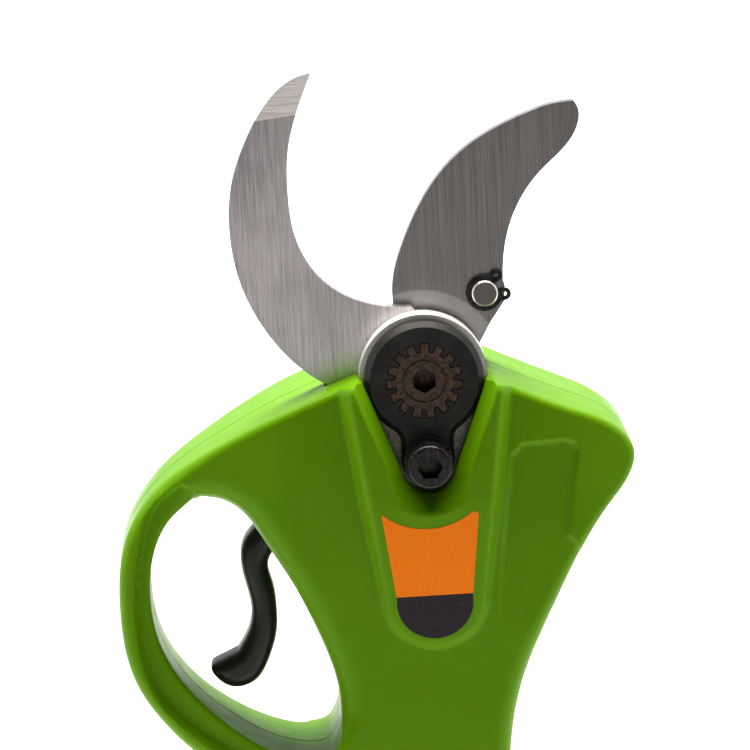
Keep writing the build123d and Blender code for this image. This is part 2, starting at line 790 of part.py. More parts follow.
# ---------------------------------------------------------------- housing
FRONT_EDGE = [(-19.5, 8.0), (-20.5, -20.0), (-19.5, -45.0), (-18.4, -70.0), (-18.0, -125.0),
              (-20.0, -142.0), (-23.0, -156.0), (-23.0, -180.0)]
ARM_EDGE = [(-80.0, 10.8), (-66.0, 11.4), (-52.0, 14.5), (-38.0, 18.5), (-30.0, 21.0),
            (28.0, 21.0), (40.0, 18.0), (60.0, 12.0)]
PANEL_TOP = (-24.8, -27.0)
PANEL_BOTTOM = (-20.0, -61.5)
CAVITY_FLOOR = -163.3
CHANNEL_TOP = 52.3
PLATE_POCKET = -19.2


def housing_block(outline, inset):
    """Solid inside the front, side and top outlines of the housing, brought in by an inset."""
    side = [(y + inset, z) for y, z in FRONT_EDGE]
    arm = [(x, y - inset) for x, y in ARM_EDGE]
    with BuildPart() as envelope:
        with BuildSketch(level(125.0)):
            Polygon(*arm, *[(x, -y) for x, y in reversed(arm)], align=None)
        extrude(amount=140.0)
        with BuildSketch(level(180.0)):
            Rectangle(140.0, 2 * (DOCK_HALF_DEPTH - inset))
        extrude(amount=55.0)
    with BuildPart() as block:
        with BuildSketch(facing(30.0)):
            add(outline)
        extrude(amount=60.0)
        with BuildSketch(Plane.YZ.offset(-100.0)):
            with Locations((0, PIVOT_Z)):
                Polygon(*side, *[(-y, z) for y, z in reversed(side)], align=None)
        extrude(amount=200.0, mode=Mode.INTERSECT)
        add(envelope.part, mode=Mode.INTERSECT)
    return block.part


def half_block(outline, inset, back):
    """Half of the housing block, in front of a plane at the given depth."""
    with BuildPart() as half:
        add(housing_block(outline, inset))
        with BuildSketch(facing(back)):
            Rectangle(400.0, 600.0)
        extrude(amount=60.0, mode=Mode.INTERSECT)
    return half.part


def screw_bosses(radius, half):
    """Columns for the housing screws inside one half."""
    with BuildPart() as bosses:
        with BuildSketch(facing(30.0)):
            with Locations(*SCREW_PLACES):
                Circle(radius)
        extrude(amount=60.0)
        add(half, mode=Mode.INTERSECT)
    return bosses.part


def cradle_ribs(cavity, half):
    """Ribs across the hollow of one half that hold the gearbox and the motor."""
    with BuildPart() as ribs:
        for drop, radius in [(37.0, GEARBOX_RADIUS), (55.0, GEARBOX_RADIUS),
                             (64.0, MOTOR_RADIUS), (95.0, MOTOR_RADIUS)]:
            with BuildSketch(level(drop)):
                with Locations((15.0, 0)):
                    Rectangle(64.0, 60.0)
                Circle(radius + FIT, mode=Mode.SUBTRACT)
            extrude(amount=2.0)
        add(cavity, mode=Mode.INTERSECT)
        add(half, mode=Mode.INTERSECT)
    return ribs.part


def badge_slab(grow, sunk, proud):
    """Badge-shaped slice along the sloping front panel, from below its face to above it."""
    with BuildPart() as slab:
        with BuildSketch(facing(0.0)):
            add(badge_outline(grow))
        extrude(amount=40.0)
        with BuildSketch(Plane.YZ.offset(-20.0)):
            with Locations((0, PIVOT_Z)):
                Polygon((PANEL_TOP[0] + sunk, PANEL_TOP[1]), (PANEL_BOTTOM[0] + sunk, PANEL_BOTTOM[1]),
                        (PANEL_BOTTOM[0] - proud, PANEL_BOTTOM[1]), (PANEL_TOP[0] - proud, PANEL_TOP[1]),
                        align=None)
        extrude(amount=40.0, mode=Mode.INTERSECT)
    return slab.part


def make_housing():
    """Both moulded halves of the housing, split on the motor line, and their screws."""
    with BuildSketch() as shell_outline:
        add(housing_outline())
        add(loop_outline(), mode=Mode.SUBTRACT)
    with BuildSketch() as cavity_outline:
        add(housing_outline(WALL))
        add(loop_outline(WALL), mode=Mode.SUBTRACT)
        Polygon((-90, -5), (-54.5, -5), (-54.5, -40), (-40, -60), (-28, -78), (-20.6, -84),
                (-20.6, -110), (-24, -122), (-90, -125), align=None, mode=Mode.SUBTRACT)
        with Locations((0, CAVITY_FLOOR - 20.0)):
            Rectangle(140.0, 40.0, mode=Mode.SUBTRACT)
    front_half = half_block(shell_outline.sketch, 0.0, 0.0)
    rear_half = half_block(shell_outline.sketch, 0.0, 60.0)
    cavity = housing_block(cavity_outline.sketch, WALL)

    with BuildPart() as yoke:
        with BuildSketch(facing(-17.0)):
            add(yoke_outline(3.4))
        with BuildSketch(facing(-25.0)):
            add(yoke_outline(0.0))
        loft(ruled=True)
        with BuildSketch(Plane.YZ.offset(-60.0)):
            with Locations((0, PIVOT_Z)):
                Polygon((-23.6, 2.0), (-25.0, -4.0), PANEL_TOP, PANEL_BOTTOM, (-18.4, -70.0),
                        (-10.0, -70.0), (-10.0, 2.0), align=None)
        extrude(amount=120.0, mode=Mode.INTERSECT)
        with BuildSketch(facing(0.0)):
            add(housing_outline())
        extrude(amount=40.0, mode=Mode.INTERSECT)

    with BuildPart() as notch:
        with BuildSketch(facing(PLATE_POCKET)):
            add(notch_outline(16.9, 20.7, 6.2, 26.3))
        with BuildSketch(facing(-25.2)):
            add(notch_outline(18.05, 24.1, 8.9, 30.1))
        loft(ruled=True)

    with BuildPart() as rear_window:
        with BuildSketch(facing(17.9)):
            add(notch_outline(14.4, 12.0, 9.8, 19.0))
        with BuildSketch(facing(21.2)):
            add(notch_outline(16.6, 13.0, 11.8, 22.0))
        loft(ruled=True)

    with BuildPart() as guard_sides:
        with BuildSketch(facing(-GUARD_HALF_DEPTH)):
            Polygon((-90, -32), (-56.5, -32), (-52, -72), (-30, -86), (-26.5, -92), (-26.5, -106),
                    (-60, -125), (-90, -110), align=None)
        extrude(amount=30.0)
        with BuildSketch(facing(-GUARD_HALF_DEPTH + 2.5)):
            with BuildLine():
                Spline((-53.4, -26.5), (-54.6, -23.2), (-56.5, -22.2), (-59.0, -23.2), (-63.2, -26.6),
                       (-67.3, -35.5), (-69.4, -49.0), (-68.9, -62.0), (-65.5, -73.0), (-56.0, -83.0),
                       (-42.0, -91.0), (-30.0, -93.5))
                Polyline((-30.0, -93.5), (-30.0, -80.0), (-50.0, -50.0), (-53.4, -26.5))
            make_face()
        extrude(amount=30.0)
        mirror(about=Plane.XZ)

    with BuildPart() as openings:
        with BuildSketch(facing(18.0)):
            with Locations((0, 0)):
                Rectangle(30.4, 24.0)
        extrude(amount=18.0 - PLATE_POCKET)
        with BuildSketch(facing(0.0)):
            Polygon((-31, 6), (-27.6, 1.9), (-21.9, -2.0), (-9.8, -9.8), (-9, 8), align=None)
        extrude(amount=-FIXED_FRONT + 0.3)
        with BuildSketch(facing(TRIGGER_HALF_WIDTH + 0.35)):
            Polygon((-48, -34), (-39, -31.5), (-30, -38), (-30.5, -48.5), (-48, -52), align=None)
        extrude(amount=2 * TRIGGER_HALF_WIDTH + 0.7)

    with BuildPart() as channel:
        for half_width, low, high in [(12.2, 40.0, 50.0), (15.2, 47.9, CHANNEL_TOP)]:
            with BuildSketch(Plane.YZ.offset(-41.0)):
                with Locations((0, (low + high) / 2)):
                    Rectangle(2 * half_width, high - low)
            extrude(amount=90.0)
        with BuildSketch(Plane.XY.offset(50.0)):
            with Locations((-38.4, 0)):
                Rectangle(5.2, 24.4)
        extrude(amount=8.0)

    with BuildPart() as recess:
        with BuildSketch(facing(-19.0)):
            Polygon((18.7, -18.4), (21.2, -15.6), (32.6, -15.3), (34.2, -17.4), (31.4, -38.0),
                    (50.0, -60.0), (20.0, -84.0), (11.9, -76.0), (15.5, -41.7), align=None)
        extrude(amount=10.0)

    with BuildPart() as housing_front:
        add(front_half)
        add(yoke.part)
        add(cavity, mode=Mode.SUBTRACT)
        add(cradle_ribs(cavity, front_half))
        add(screw_bosses(3.2, front_half))
        with BuildSketch(facing(-TRIGGER_HALF_WIDTH - 0.3)):
            with Locations(TRIGGER_PIVOT):
                Circle(3.2)
        extrude(amount=13.0)
        with BuildSketch(facing(CHEEK_FRONT + 0.3)):
            Circle(PLATE_RADIUS + 0.4)
            with Locations((0, -16.5)):
                Rectangle(14.0, 17.0)
        extrude(amount=CHEEK_FRONT + 0.3 - PLATE_POCKET, mode=Mode.SUBTRACT)
        add(notch.part, mode=Mode.SUBTRACT)
        add(recess.part, mode=Mode.SUBTRACT)
        add(guard_sides.part, mode=Mode.SUBTRACT)
        add(openings.part, mode=Mode.SUBTRACT)
        add(channel.part, mode=Mode.SUBTRACT)
        with BuildSketch(facing(0.0)):
            with Locations(*SCREW_PLACES):
                Circle(1.5)
        extrude(amount=9.5, mode=Mode.SUBTRACT)
        with BuildSketch(facing(0.0)):
            with Locations(TRIGGER_PIVOT):
                Circle(1.5)
        extrude(amount=15.2, mode=Mode.SUBTRACT)
        with BuildSketch(facing(-15.0)):
            with Locations(BUTTON_PLACE):
                Circle(BUTTON_RADIUS + GAP)
        extrude(amount=15.0, mode=Mode.SUBTRACT)
        add(badge_slab(0.1, 0.4, 5.0), mode=Mode.SUBTRACT)
    finish(housing_front, "housing_front")

    with BuildPart() as housing_rear:
        add(rear_half)
        add(cavity, mode=Mode.SUBTRACT)
        add(cradle_ribs(cavity, rear_half))
        add(screw_bosses(4.2, rear_half))
        with BuildSketch(facing(18.5)):
            with Locations(TRIGGER_PIVOT):
                Circle(3.2)
        extrude(amount=9.6)
        add(rear_window.part, mode=Mode.SUBTRACT)
        add(guard_sides.part, mode=Mode.SUBTRACT)
        add(openings.part, mode=Mode.SUBTRACT)
        add(channel.part, mode=Mode.SUBTRACT)
        with BuildSketch(facing(8.0)):
            with Locations(*SCREW_PLACES):
                Circle(1.6)
        extrude(amount=8.0, mode=Mode.SUBTRACT)
        with BuildSketch(facing(30.0)):
            with Locations(*SCREW_PLACES):
                Circle(3.0)
        extrude(amount=22.0, mode=Mode.SUBTRACT)
        with BuildSketch(facing(15.2)):
            with Locations(TRIGGER_PIVOT):
                Circle(1.5)
        extrude(amount=15.2, mode=Mode.SUBTRACT)
    finish(housing_rear, "housing_rear")

    with BuildPart() as housing_screws:
        with BuildSketch(facing(8.0)):
            with Locations(*SCREW_PLACES):
                Circle(1.45)
        extrude(amount=16.0)
        with BuildSketch(facing(10.0)):
            with Locations(*SCREW_PLACES):
                Circle(2.8)
        extrude(amount=2.0)
        with BuildSketch(facing(10.0)):
            with Locations(*SCREW_PLACES):
                Rectangle(0.8, 3.4)
                Rectangle(3.4, 0.8)
        extrude(amount=1.2, mode=Mode.SUBTRACT)
    finish(housing_screws, "housing_screws")

    with BuildPart() as badge:
        add(badge_slab(0.0, 0.4, 0.1))
    finish(badge, "badge")


# ---------------------------------------------------------------- trigger
def make_trigger():
    """Curved finger trigger with its pin, torsion spring and switch."""
    with BuildPart() as trigger:
        with BuildSketch(facing(TRIGGER_HALF_WIDTH)):
            with BuildLine():
                Spline((-36.0, -31.6), (-40.2, -35.2), (-43.6, -39.3), (-44.3, -44.5), (-43.0, -51.4),
                       (-42.6, -56.8), (-43.7, -60.8), (-46.3, -65.2))
                Spline((-46.3, -65.2), (-50.6, -67.1), (-52.8, -68.6), (-51.8, -71.3), (-47.0, -74.0),
                       (-42.5, -72.6), (-38.9, -67.2), (-37.0, -61.5), (-36.6, -55.0), (-37.3, -49.0),
                       (-38.0, -44.6), (-36.2, -41.2), (-31.5, -37.2))
                Line((-31.5, -37.2), (-28.0, -34.0))
                Line((-28.0, -34.0), (-36.0, -31.6))
            make_face()
        extrude(amount=2 * TRIGGER_HALF_WIDTH)
        with BuildSketch(facing(TRIGGER_HALF_WIDTH)):
            with Locations(TRIGGER_PIVOT):
                Circle(3.8)
            Polygon((-33.0, -36.0), (-28.2, -34.0), (-26.8, -38.5), (-26.8, -41.0), (-28.6, -41.0),
                    align=None)
        extrude(amount=2 * TRIGGER_HALF_WIDTH)
        with BuildSketch(facing(TRIGGER_HALF_WIDTH)):
            with Locations(TRIGGER_PIVOT):
                Circle(1.5 + FIT)
        extrude(amount=2 * TRIGGER_HALF_WIDTH, mode=Mode.SUBTRACT)
    finish(trigger, "trigger")

    with BuildPart() as trigger_pin:
        with BuildSketch(facing(15.0)):
            with Locations(TRIGGER_PIVOT):
                Circle(1.5)
        extrude(amount=30.0)
    finish(trigger_pin, "trigger_pin")

    wire = 0.35
    coil_radius = 2.3
    coil_start = TRIGGER_HALF_WIDTH + 0.5
    with BuildPart() as trigger_spring:
        with BuildLine():
            coil = Helix(pitch=0.9, height=2.7, radius=coil_radius, direction=(0, 1, 0),
                         center=(TRIGGER_PIVOT[0], coil_start, PIVOT_Z + TRIGGER_PIVOT[1]))
        with BuildSketch(Plane(origin=coil @ 0, z_dir=coil % 0)):
            Circle(wire)
        sweep(path=coil)
    finish(trigger_spring, "trigger_spring")

    with BuildPart() as trigger_switch:
        with BuildSketch(facing(3.2)):
            with Locations((-20.6, -36.0)):
                Rectangle(6.4, 13.0)
        extrude(amount=6.4)
        with BuildSketch(facing(1.0)):
            with Locations((-24.2, -39.5)):
                Rectangle(1.2, 2.0)
        extrude(amount=2.0)
    finish(trigger_switch, "trigger_switch")


# ---------------------------------------------------------------- control parts in the handle
def make_controls():
    """Power button and its switch, control board, wires and the battery terminals."""
    with BuildPart() as power_button:
        with BuildSketch(facing(BUTTON_BACK)):
            with Locations(BUTTON_PLACE):
                Circle(BUTTON_RADIUS)
        extrude(amount=5.8)
        fillet(power_button.edges().sort_by(Axis.Y)[0], 0.6)
        with BuildSketch(facing(BUTTON_BACK)):
            with Locations(BUTTON_PLACE):
                Circle(BUTTON_RADIUS + 1.0)
        extrude(amount=0.9)
    finish(power_button, "power_button")

    with BuildPart() as power_switch:
        with BuildSketch(facing(BUTTON_BACK + 4.8)):
            with Locations(BUTTON_PLACE):
                Rectangle(8.0, 8.0)
        extrude(amount=2.6)
        with BuildSketch(facing(BUTTON_BACK + 2.2)):
            with Locations(BUTTON_PLACE):
                Circle(1.8)
        extrude(amount=1.1)
        with BuildSketch(facing(BUTTON_BACK + 6.0)):
            with Locations(BUTTON_PLACE):
                Rectangle(16.0, 9.6)
        extrude(amount=1.2)
    finish(power_switch, "power_switch")

    with BuildPart() as control_board:
        with BuildSketch(facing(8.6)):
            with Locations((-3.5, -131.5)):
                Rectangle(26.0, 29.0)
                with Locations((-11.0, 12.5), (11.0, 12.5)):
                    Circle(1.2, mode=Mode.SUBTRACT)
        extrude(amount=1.6)
        with BuildSketch(facing(7.0)):
            with Locations((-12.0, -124.0), (-12.0, -130.5), (-12.0, -137.0)):
                Rectangle(5.0, 5.5)
            with Locations((0.0, -126.0)):
                Rectangle(7.0, 7.0)
        extrude(amount=1.8)
        with BuildSketch(facing(7.0)):
            with Locations((0.0, -138.5)):
                Circle(4.0)
        extrude(amount=9.0)
    finish(control_board, "control_board")

    wire_radius = 0.9
    leads = [
        [(-4.0, 0.0, 103.2), (-4.0, 0.0, 108.0), (-6.0, 4.6, 114.0), (-6.0, 4.6, 119.5)],
        [(3.0, 0.0, 103.2), (3.0, 0.0, 107.0), (3.0, 4.6, 114.0), (3.0, 4.6, 119.5)],
        [(-38.4, -6.0, 160.7), (-38.4, -6.0, 158.4), (-29.5, -3.0, 151.2), (-11.0, 4.6, 148.5),
         (-9.0, 4.6, 142.0)],
        [(-38.4, 6.0, 160.7), (-38.4, 6.0, 158.4), (-29.5, 6.0, 151.5), (-16.0, 5.6, 147.0),
         (-13.5, 5.6, 141.0)],
    ]
    with BuildPart() as wiring:
        for lead in leads:
            points = [(x, y, PIVOT_Z - drop) for x, y, drop in lead]
            with BuildLine():
                path = FilletPolyline(*points, radius=1.8)
            with BuildSketch(Plane(origin=path @ 0, z_dir=path % 0)):
                Circle(wire_radius)
            sweep(path=path)
    finish(wiring, "wiring")

    with BuildPart() as terminal_block:
        with BuildSketch(Plane.XY.offset(48.2)):
            with Locations((-38.4, 0)):
                Rectangle(4.8, 24.0)
        extrude(amount=8.9)
        with BuildSketch(Plane.YZ.offset(-36.0)):
            with Locations((0, 50.2)):
                Rectangle(28.0, 4.0)
        extrude(amount=2.0)
        with BuildSketch(Plane.YZ.offset(-34.0)):
            with Locations((0, 50.2)):
                with GridLocations(6.0, 0, 4, 1):
                    Rectangle(0.8, 3.0)
        extrude(amount=10.0)
    finish(terminal_block, "terminal_block")


# ---------------------------------------------------------------- battery pack
def make_battery():
    """Slide-in pack: case, cover with rails, cells, contacts, board, screws and release."""
    mid_x = (BATTERY_X[0] + BATTERY_X[1]) / 2
    length = BATTERY_X[1] - BATTERY_X[0]
    seam = 30.0
    wall = 2.0
    corners = [(-40.8, 18.2), (-40.8, -18.2), (30.9, 18.2), (30.9, -18.2)]

    with BuildPart() as battery_case:
        with BuildSketch():
            with Locations((mid_x, 0)):
                RectangleRounded(length, 2 * BATTERY_HALF_DEPTH, 6.0)
        extrude(amount=seam)
        fillet(battery_case.edges().group_by(Axis.Z)[0], 2.0)
        with BuildSketch(Plane.XY.offset(wall)):
            with Locations((mid_x, 0)):
                RectangleRounded(length - 2 * wall, 2 * (BATTERY_HALF_DEPTH - wall), 4.0)
        extrude(amount=seam, mode=Mode.SUBTRACT)
        with BuildSketch(Plane.XY.offset(wall)):
            with Locations(*corners):
                Circle(3.0)
        extrude(amount=seam - wall)
        with BuildSketch(Plane.XY.offset(14.0)):
            with Locations((31.0, 0)):
                Rectangle(4.6, 6.0)
        extrude(amount=2.0)
        with BuildSketch(Plane.XY):
            with Locations(*corners):
                Circle(1.5)
        extrude(amount=seam, mode=Mode.SUBTRACT)
        with BuildSketch(Plane.XY):
            with Locations(*corners):
                Circle(2.6)
        extrude(amount=4.0, mode=Mode.SUBTRACT)
    finish(battery_case, "battery_case")

    with BuildPart() as battery_cover:
        with BuildSketch(Plane.XY.offset(seam)):
            with Locations((mid_x, 0)):
                RectangleRounded(length, 2 * BATTERY_HALF_DEPTH, 6.0)
        extrude(amount=BATTERY_TOP - seam)
        with BuildSketch(Plane.XY.offset(BATTERY_TOP)):
            with Locations((0.6, 0)):
                Rectangle(68.4, 23.8)
        extrude(amount=3.1)
        with BuildSketch(Plane.XY.offset(BATTERY_TOP + 3.1)):
            with Locations((0.6, 0)):
                Rectangle(68.4, 30.0)
        extrude(amount=3.8)
        with BuildSketch(Plane.XY.offset(seam)):
            with Locations((mid_x, 0)):
                RectangleRounded(length - 2 * wall, 2 * (BATTERY_HALF_DEPTH - wall), 4.0)
        extrude(amount=BATTERY_TOP - seam - wall, mode=Mode.SUBTRACT)
        with BuildSketch(Plane.XY.offset(seam)):
            with Locations(*corners):
                Circle(3.0)
        extrude(amount=BATTERY_TOP - seam - wall)
        with BuildSketch(Plane.XY.offset(seam)):
            with Locations(*corners):
                Circle(1.5)
        extrude(amount=9.0, mode=Mode.SUBTRACT)
        with BuildSketch(Plane.XY.offset(48.4)):
            with Locations((-27.6, 0)):
                with GridLocations(0, 6.0, 1, 4):
                    Rectangle(12.0, 2.2)
        extrude(amount=4.0, mode=Mode.SUBTRACT)
        with BuildSketch(Plane.XY.offset(30.2)):
            with Locations((34.5, 0)):
                Rectangle(4.0, 16.6)
        extrude(amount=13.0, mode=Mode.SUBTRACT)
    finish(battery_cover, "battery_cover")

    with BuildPart() as battery_cells:
        for height in (12.0, 30.8):
            with BuildSketch(Plane.YZ.offset(-37.4)):
                with Locations((-9.45, height), (9.45, height)):
                    Circle(CELL_RADIUS)
            extrude(amount=CELL_LENGTH)
            with BuildSketch(Plane.YZ.offset(-37.4 + CELL_LENGTH)):
                with Locations((-9.45, height), (9.45, height)):
                    Circle(3.0)
            extrude(amount=0.6)
    finish(battery_cells, "battery_cells")

    with BuildPart() as battery_board:
        with BuildSketch(Plane.XY.offset(41.0)):
            with Locations((-6.0, 0)):
                Rectangle(56.0, 30.0)
        extrude(amount=1.2)
    finish(battery_board, "battery_board")

    with BuildPart() as battery_contacts:
        with BuildSketch(Plane.XY.offset(48.4)):
            for side in (-0.85, 0.85):
                with Locations((-27.0, side)):
                    with GridLocations(0, 6.0, 1, 4):
                        Rectangle(8.0, 0.4)
        extrude(amount=3.0)
    finish(battery_contacts, "battery_contacts")

    with BuildPart() as battery_screws:
        with BuildSketch(Plane.XY.offset(1.4)):
            with Locations(*corners):
                Circle(2.5)
        extrude(amount=2.6)
        with BuildSketch(Plane.XY.offset(4.0)):
            with Locations(*corners):
                Circle(1.45)
        extrude(amount=33.0)
        with BuildSketch(Plane.XY.offset(1.4)):
            with Locations(*corners):
                Rectangle(0.8, 3.2)
                Rectangle(3.2, 0.8)
        extrude(amount=1.2, mode=Mode.SUBTRACT)
    finish(battery_screws, "battery_screws")

    with BuildPart() as release_button:
        with BuildSketch(Plane.YZ.offset(32.9)):
            with Locations((0, 38.0)):
                RectangleRounded(16.0, 9.6, 2.0)
        extrude(amount=2.7)
        with BuildSketch(Plane.YZ.offset(35.6)):
            with Locations((0, 35.6), (0, 38.0), (0, 40.4)):
                Rectangle(12.0, 0.9)
        extrude(amount=0.4)
        with BuildSketch(Plane.YZ.offset(31.5)):
            with Locations((0, 37.8)):
                Rectangle(19.0, 10.0)
        extrude(amount=1.4)
        with BuildSketch(Plane.XY.offset(32.8)):
            with Locations((30.3, 0)):
                Rectangle(4.0, 5.0)
        extrude(amount=1.6)
    finish(release_button, "release_button")

    coil_base = 16.4
    with BuildPart() as release_spring:
        with BuildLine(Plane(origin=(30.4, 0, coil_base))):
            coil = Helix(pitch=2.6, height=16.0, radius=1.5)
        with BuildSketch(Plane(origin=coil @ 0, z_dir=coil % 0)):
            Circle(0.3)
        sweep(path=coil)
    finish(release_spring, "release_spring")


make_blades()
make_pivot()
make_sector_gear()
make_drive_pin()
make_pinion()
make_head()
make_gearbox()
make_motor()
make_housing()
make_trigger()
make_controls()
make_battery()
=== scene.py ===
import math

import bpy
import numpy as np
from mathutils import Matrix, Vector


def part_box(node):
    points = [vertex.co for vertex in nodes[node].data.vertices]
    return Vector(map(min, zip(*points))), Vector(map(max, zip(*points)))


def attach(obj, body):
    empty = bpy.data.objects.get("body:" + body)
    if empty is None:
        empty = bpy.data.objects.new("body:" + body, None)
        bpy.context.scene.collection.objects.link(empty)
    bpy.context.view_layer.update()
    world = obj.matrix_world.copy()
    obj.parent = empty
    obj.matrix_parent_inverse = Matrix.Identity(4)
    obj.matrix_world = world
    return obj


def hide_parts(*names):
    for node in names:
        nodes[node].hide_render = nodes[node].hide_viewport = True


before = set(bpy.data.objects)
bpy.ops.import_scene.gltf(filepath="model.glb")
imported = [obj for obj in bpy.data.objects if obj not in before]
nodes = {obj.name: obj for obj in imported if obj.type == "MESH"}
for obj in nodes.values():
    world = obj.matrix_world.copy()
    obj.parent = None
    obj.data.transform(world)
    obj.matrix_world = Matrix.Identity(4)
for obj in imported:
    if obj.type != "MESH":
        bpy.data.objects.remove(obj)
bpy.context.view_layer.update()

MM = 0.001
PIVOT_Z = 218.0

# ------------------------------------------------------------------ node helpers


class Look:
    """A node material on the principled shader, built with short calls."""

    def __init__(self, name, colour, rough, metal=0.0, **extra):
        self.mat = bpy.data.materials.new(name)
        self.mat.use_nodes = True
        self.tree = self.mat.node_tree
        self.tree.nodes.clear()
        self.out = self.tree.nodes.new("ShaderNodeOutputMaterial")
        self.shader = self.tree.nodes.new("ShaderNodeBsdfPrincipled")
        self.link(self.shader.outputs[0], self.out.inputs[0])
        self.set("Base Color", colour)
        self.set("Roughness", rough)
        self.set("Metallic", metal)
        for key, value in extra.items():
            self.set(key.replace("_", " "), value)
        self.coords = self.tree.nodes.new("ShaderNodeTexCoord").outputs["Object"]
        self.normal = None

    def link(self, a, b):
        self.tree.links.new(a, b)

    def plug(self, value, socket):
        if isinstance(value, (int, float)):
            socket.default_value = value
        elif isinstance(value, (tuple, list)):
            value = tuple(value)
            if socket.type == "RGBA" and len(value) == 3:
                value = value + (1.0,)
            socket.default_value = value
        else:
            self.link(value, socket)

    def set(self, name, value):
        self.plug(value, self.shader.inputs[name])

    def math(self, kind, a, b=0.0, c=0.0, clamp=False):
        n = self.tree.nodes.new("ShaderNodeMath")
        n.operation = kind
        n.use_clamp = clamp
        for i, v in enumerate((a, b, c)):
            self.plug(v, n.inputs[i])
        return n.outputs[0]

    def part(self, vector=None):
        n = self.tree.nodes.new("ShaderNodeSeparateXYZ")
        self.link(vector or self.coords, n.inputs[0])
        return n.outputs

    def moved(self, scale=(1, 1, 1), turn=(0, 0, 0), shift=(0, 0, 0)):
        n = self.tree.nodes.new("ShaderNodeMapping")
        self.link(self.coords, n.inputs[0])
        n.inputs["Location"].default_value = shift
        n.inputs["Rotation"].default_value = turn
        n.inputs["Scale"].default_value = scale
        return n.outputs[0]

    def noise(self, scale, detail=3.0, rough=0.5, vector=None):
        n = self.tree.nodes.new("ShaderNodeTexNoise")
        self.link(vector or self.coords, n.inputs["Vector"])
        n.inputs["Scale"].default_value = scale
        n.inputs["Detail"].default_value = detail
        n.inputs["Roughness"].default_value = rough
        return n.outputs["Fac"]

    def steps(self, value, low, high, out_low=0.0, out_high=1.0):
        n = self.tree.nodes.new("ShaderNodeMapRange")
        n.interpolation_type = "SMOOTHSTEP"
        for i, v in enumerate((value, low, high, out_low, out_high)):
            self.plug(v, n.inputs[i])
        return n.outputs[0]

    def mix(self, fac, a, b):
        n = self.tree.nodes.new("ShaderNodeMix")
        n.data_type = "RGBA"
        self.plug(fac, n.inputs[0])
        self.plug(a, n.inputs[6])
        self.plug(b, n.inputs[7])
        return n.outputs[2]

    def bump(self, height, strength, distance):
        n = self.tree.nodes.new("ShaderNodeBump")
        n.inputs["Strength"].default_value = strength
        n.inputs["Distance"].default_value = distance
        self.link(height, n.inputs["Height"])
        if self.normal is not None:
            self.link(self.normal, n.inputs["Normal"])
        self.normal = n.outputs[0]
        self.link(self.normal, self.shader.inputs["Normal"])

    def round_pivot(self):
        """Distance from the blade pivot's axis."""
        x, _, z = self.part()
        up = self.math("SUBTRACT", z, PIVOT_Z * MM)
        return self.math("SQRT", self.math("ADD", self.math("MULTIPLY", x, x),
                                           self.math("MULTIPLY", up, up)))

    def put(self, *names):
        for name in names:
            slots = nodes[name].data.materials
            if len(slots):
                for i in range(len(slots)):
                    slots[i] = self.mat
            else:
                slots.append(self.mat)


def moulded(name, dark, light, rough, grain=0.05, scale=5200):
    look = Look(name, dark, rough)
    patch = look.noise(28, 3)
    look.set("Base Color", look.mix(look.steps(patch, 0.3, 0.7), dark, light))
    fine = look.noise(scale, 2, 0.6)
    look.set("Roughness", look.steps(look.noise(240, 4), 0.25, 0.75, rough - 0.05, rough + 0.06))
    look.bump(fine, grain, 0.00012)
    return look


def ground(name, dark, light, low, high, turn, stretch=(40, 40, 2600), extra_turn=None):
    """Ground steel: fine scratches along one or two directions."""
    look = Look(name, dark, low, 1.0)
    lines = look.noise(1.0, 4, 0.62, look.moved(stretch, turn))
    if extra_turn is not None:
        other = look.noise(1.0, 4, 0.62, look.moved(stretch, extra_turn))
        lines = look.math("MULTIPLY", look.math("ADD", lines, other), 0.5)
    cloud = look.noise(60, 3)
    shade = look.steps(look.math("ADD", look.math("MULTIPLY", lines, 0.8),
                                 look.math("MULTIPLY", cloud, 0.2)), 0.36, 0.64)
    look.set("Base Color", look.mix(shade, dark, light))
    look.set("Roughness", look.steps(lines, 0.3, 0.7, low, high))
    look.bump(lines, 0.22, 0.00006)
    look.shade = shade
    return look


# ------------------------------------------------------------------ materials
lime = moulded("lime_plastic", (0.098, 0.255, 0.0004), (0.110, 0.275, 0.0006), 0.34, 0.05)
lime.set("Specular IOR Level", 0.08)
black = moulded("black_plastic", (0.012, 0.012, 0.013), (0.018, 0.018, 0.019), 0.5, 0.12, 3600)
trigger_look = moulded("trigger_plastic", (0.006, 0.006, 0.0065), (0.010, 0.010, 0.0105), 0.36, 0.08)
trigger_look.set("Specular IOR Level", 0.35)

HOOK_DARK, HOOK_LIGHT = (0.48, 0.46, 0.49), (0.84, 0.80, 0.85)
SWING_DARK, SWING_LIGHT = (0.24, 0.23, 0.24), (0.36, 0.345, 0.36)
hook = ground("hook_steel", HOOK_DARK, HOOK_LIGHT, 0.30, 0.46,
              (0, math.radians(32), 0), (4600, 60, 110), (0, math.radians(-50), 0))
x, _, z = hook.part()
# Painted highlight: above a slanted line near the hook's tip, the steel is made near-white and almost
# non-metallic, standing in for the light the tip reflects.
tip_line = hook.math("ADD", hook.math("MULTIPLY", x, -0.10),
                     hook.math("SUBTRACT", z, (PIVOT_Z + 60.3 + 3.45) * MM))
tip = hook.steps(tip_line, -0.00015, 0.00015)
fine_tip = hook.noise(1.0, 3, 0.6, hook.moved((120, 40, 2800), (0, math.radians(8), 0)))
tip_painted_highlight = hook.mix(hook.steps(fine_tip, 0.35, 0.65), (0.74, 0.70, 0.72), (1.0, 0.96, 0.98))
hook.set("Metallic", hook.steps(tip, 0.0, 1.0, 1.0, 0.05))
hook.set("Base Color", hook.mix(tip, hook.mix(hook.shade, HOOK_DARK, HOOK_LIGHT),
                                tip_painted_highlight))

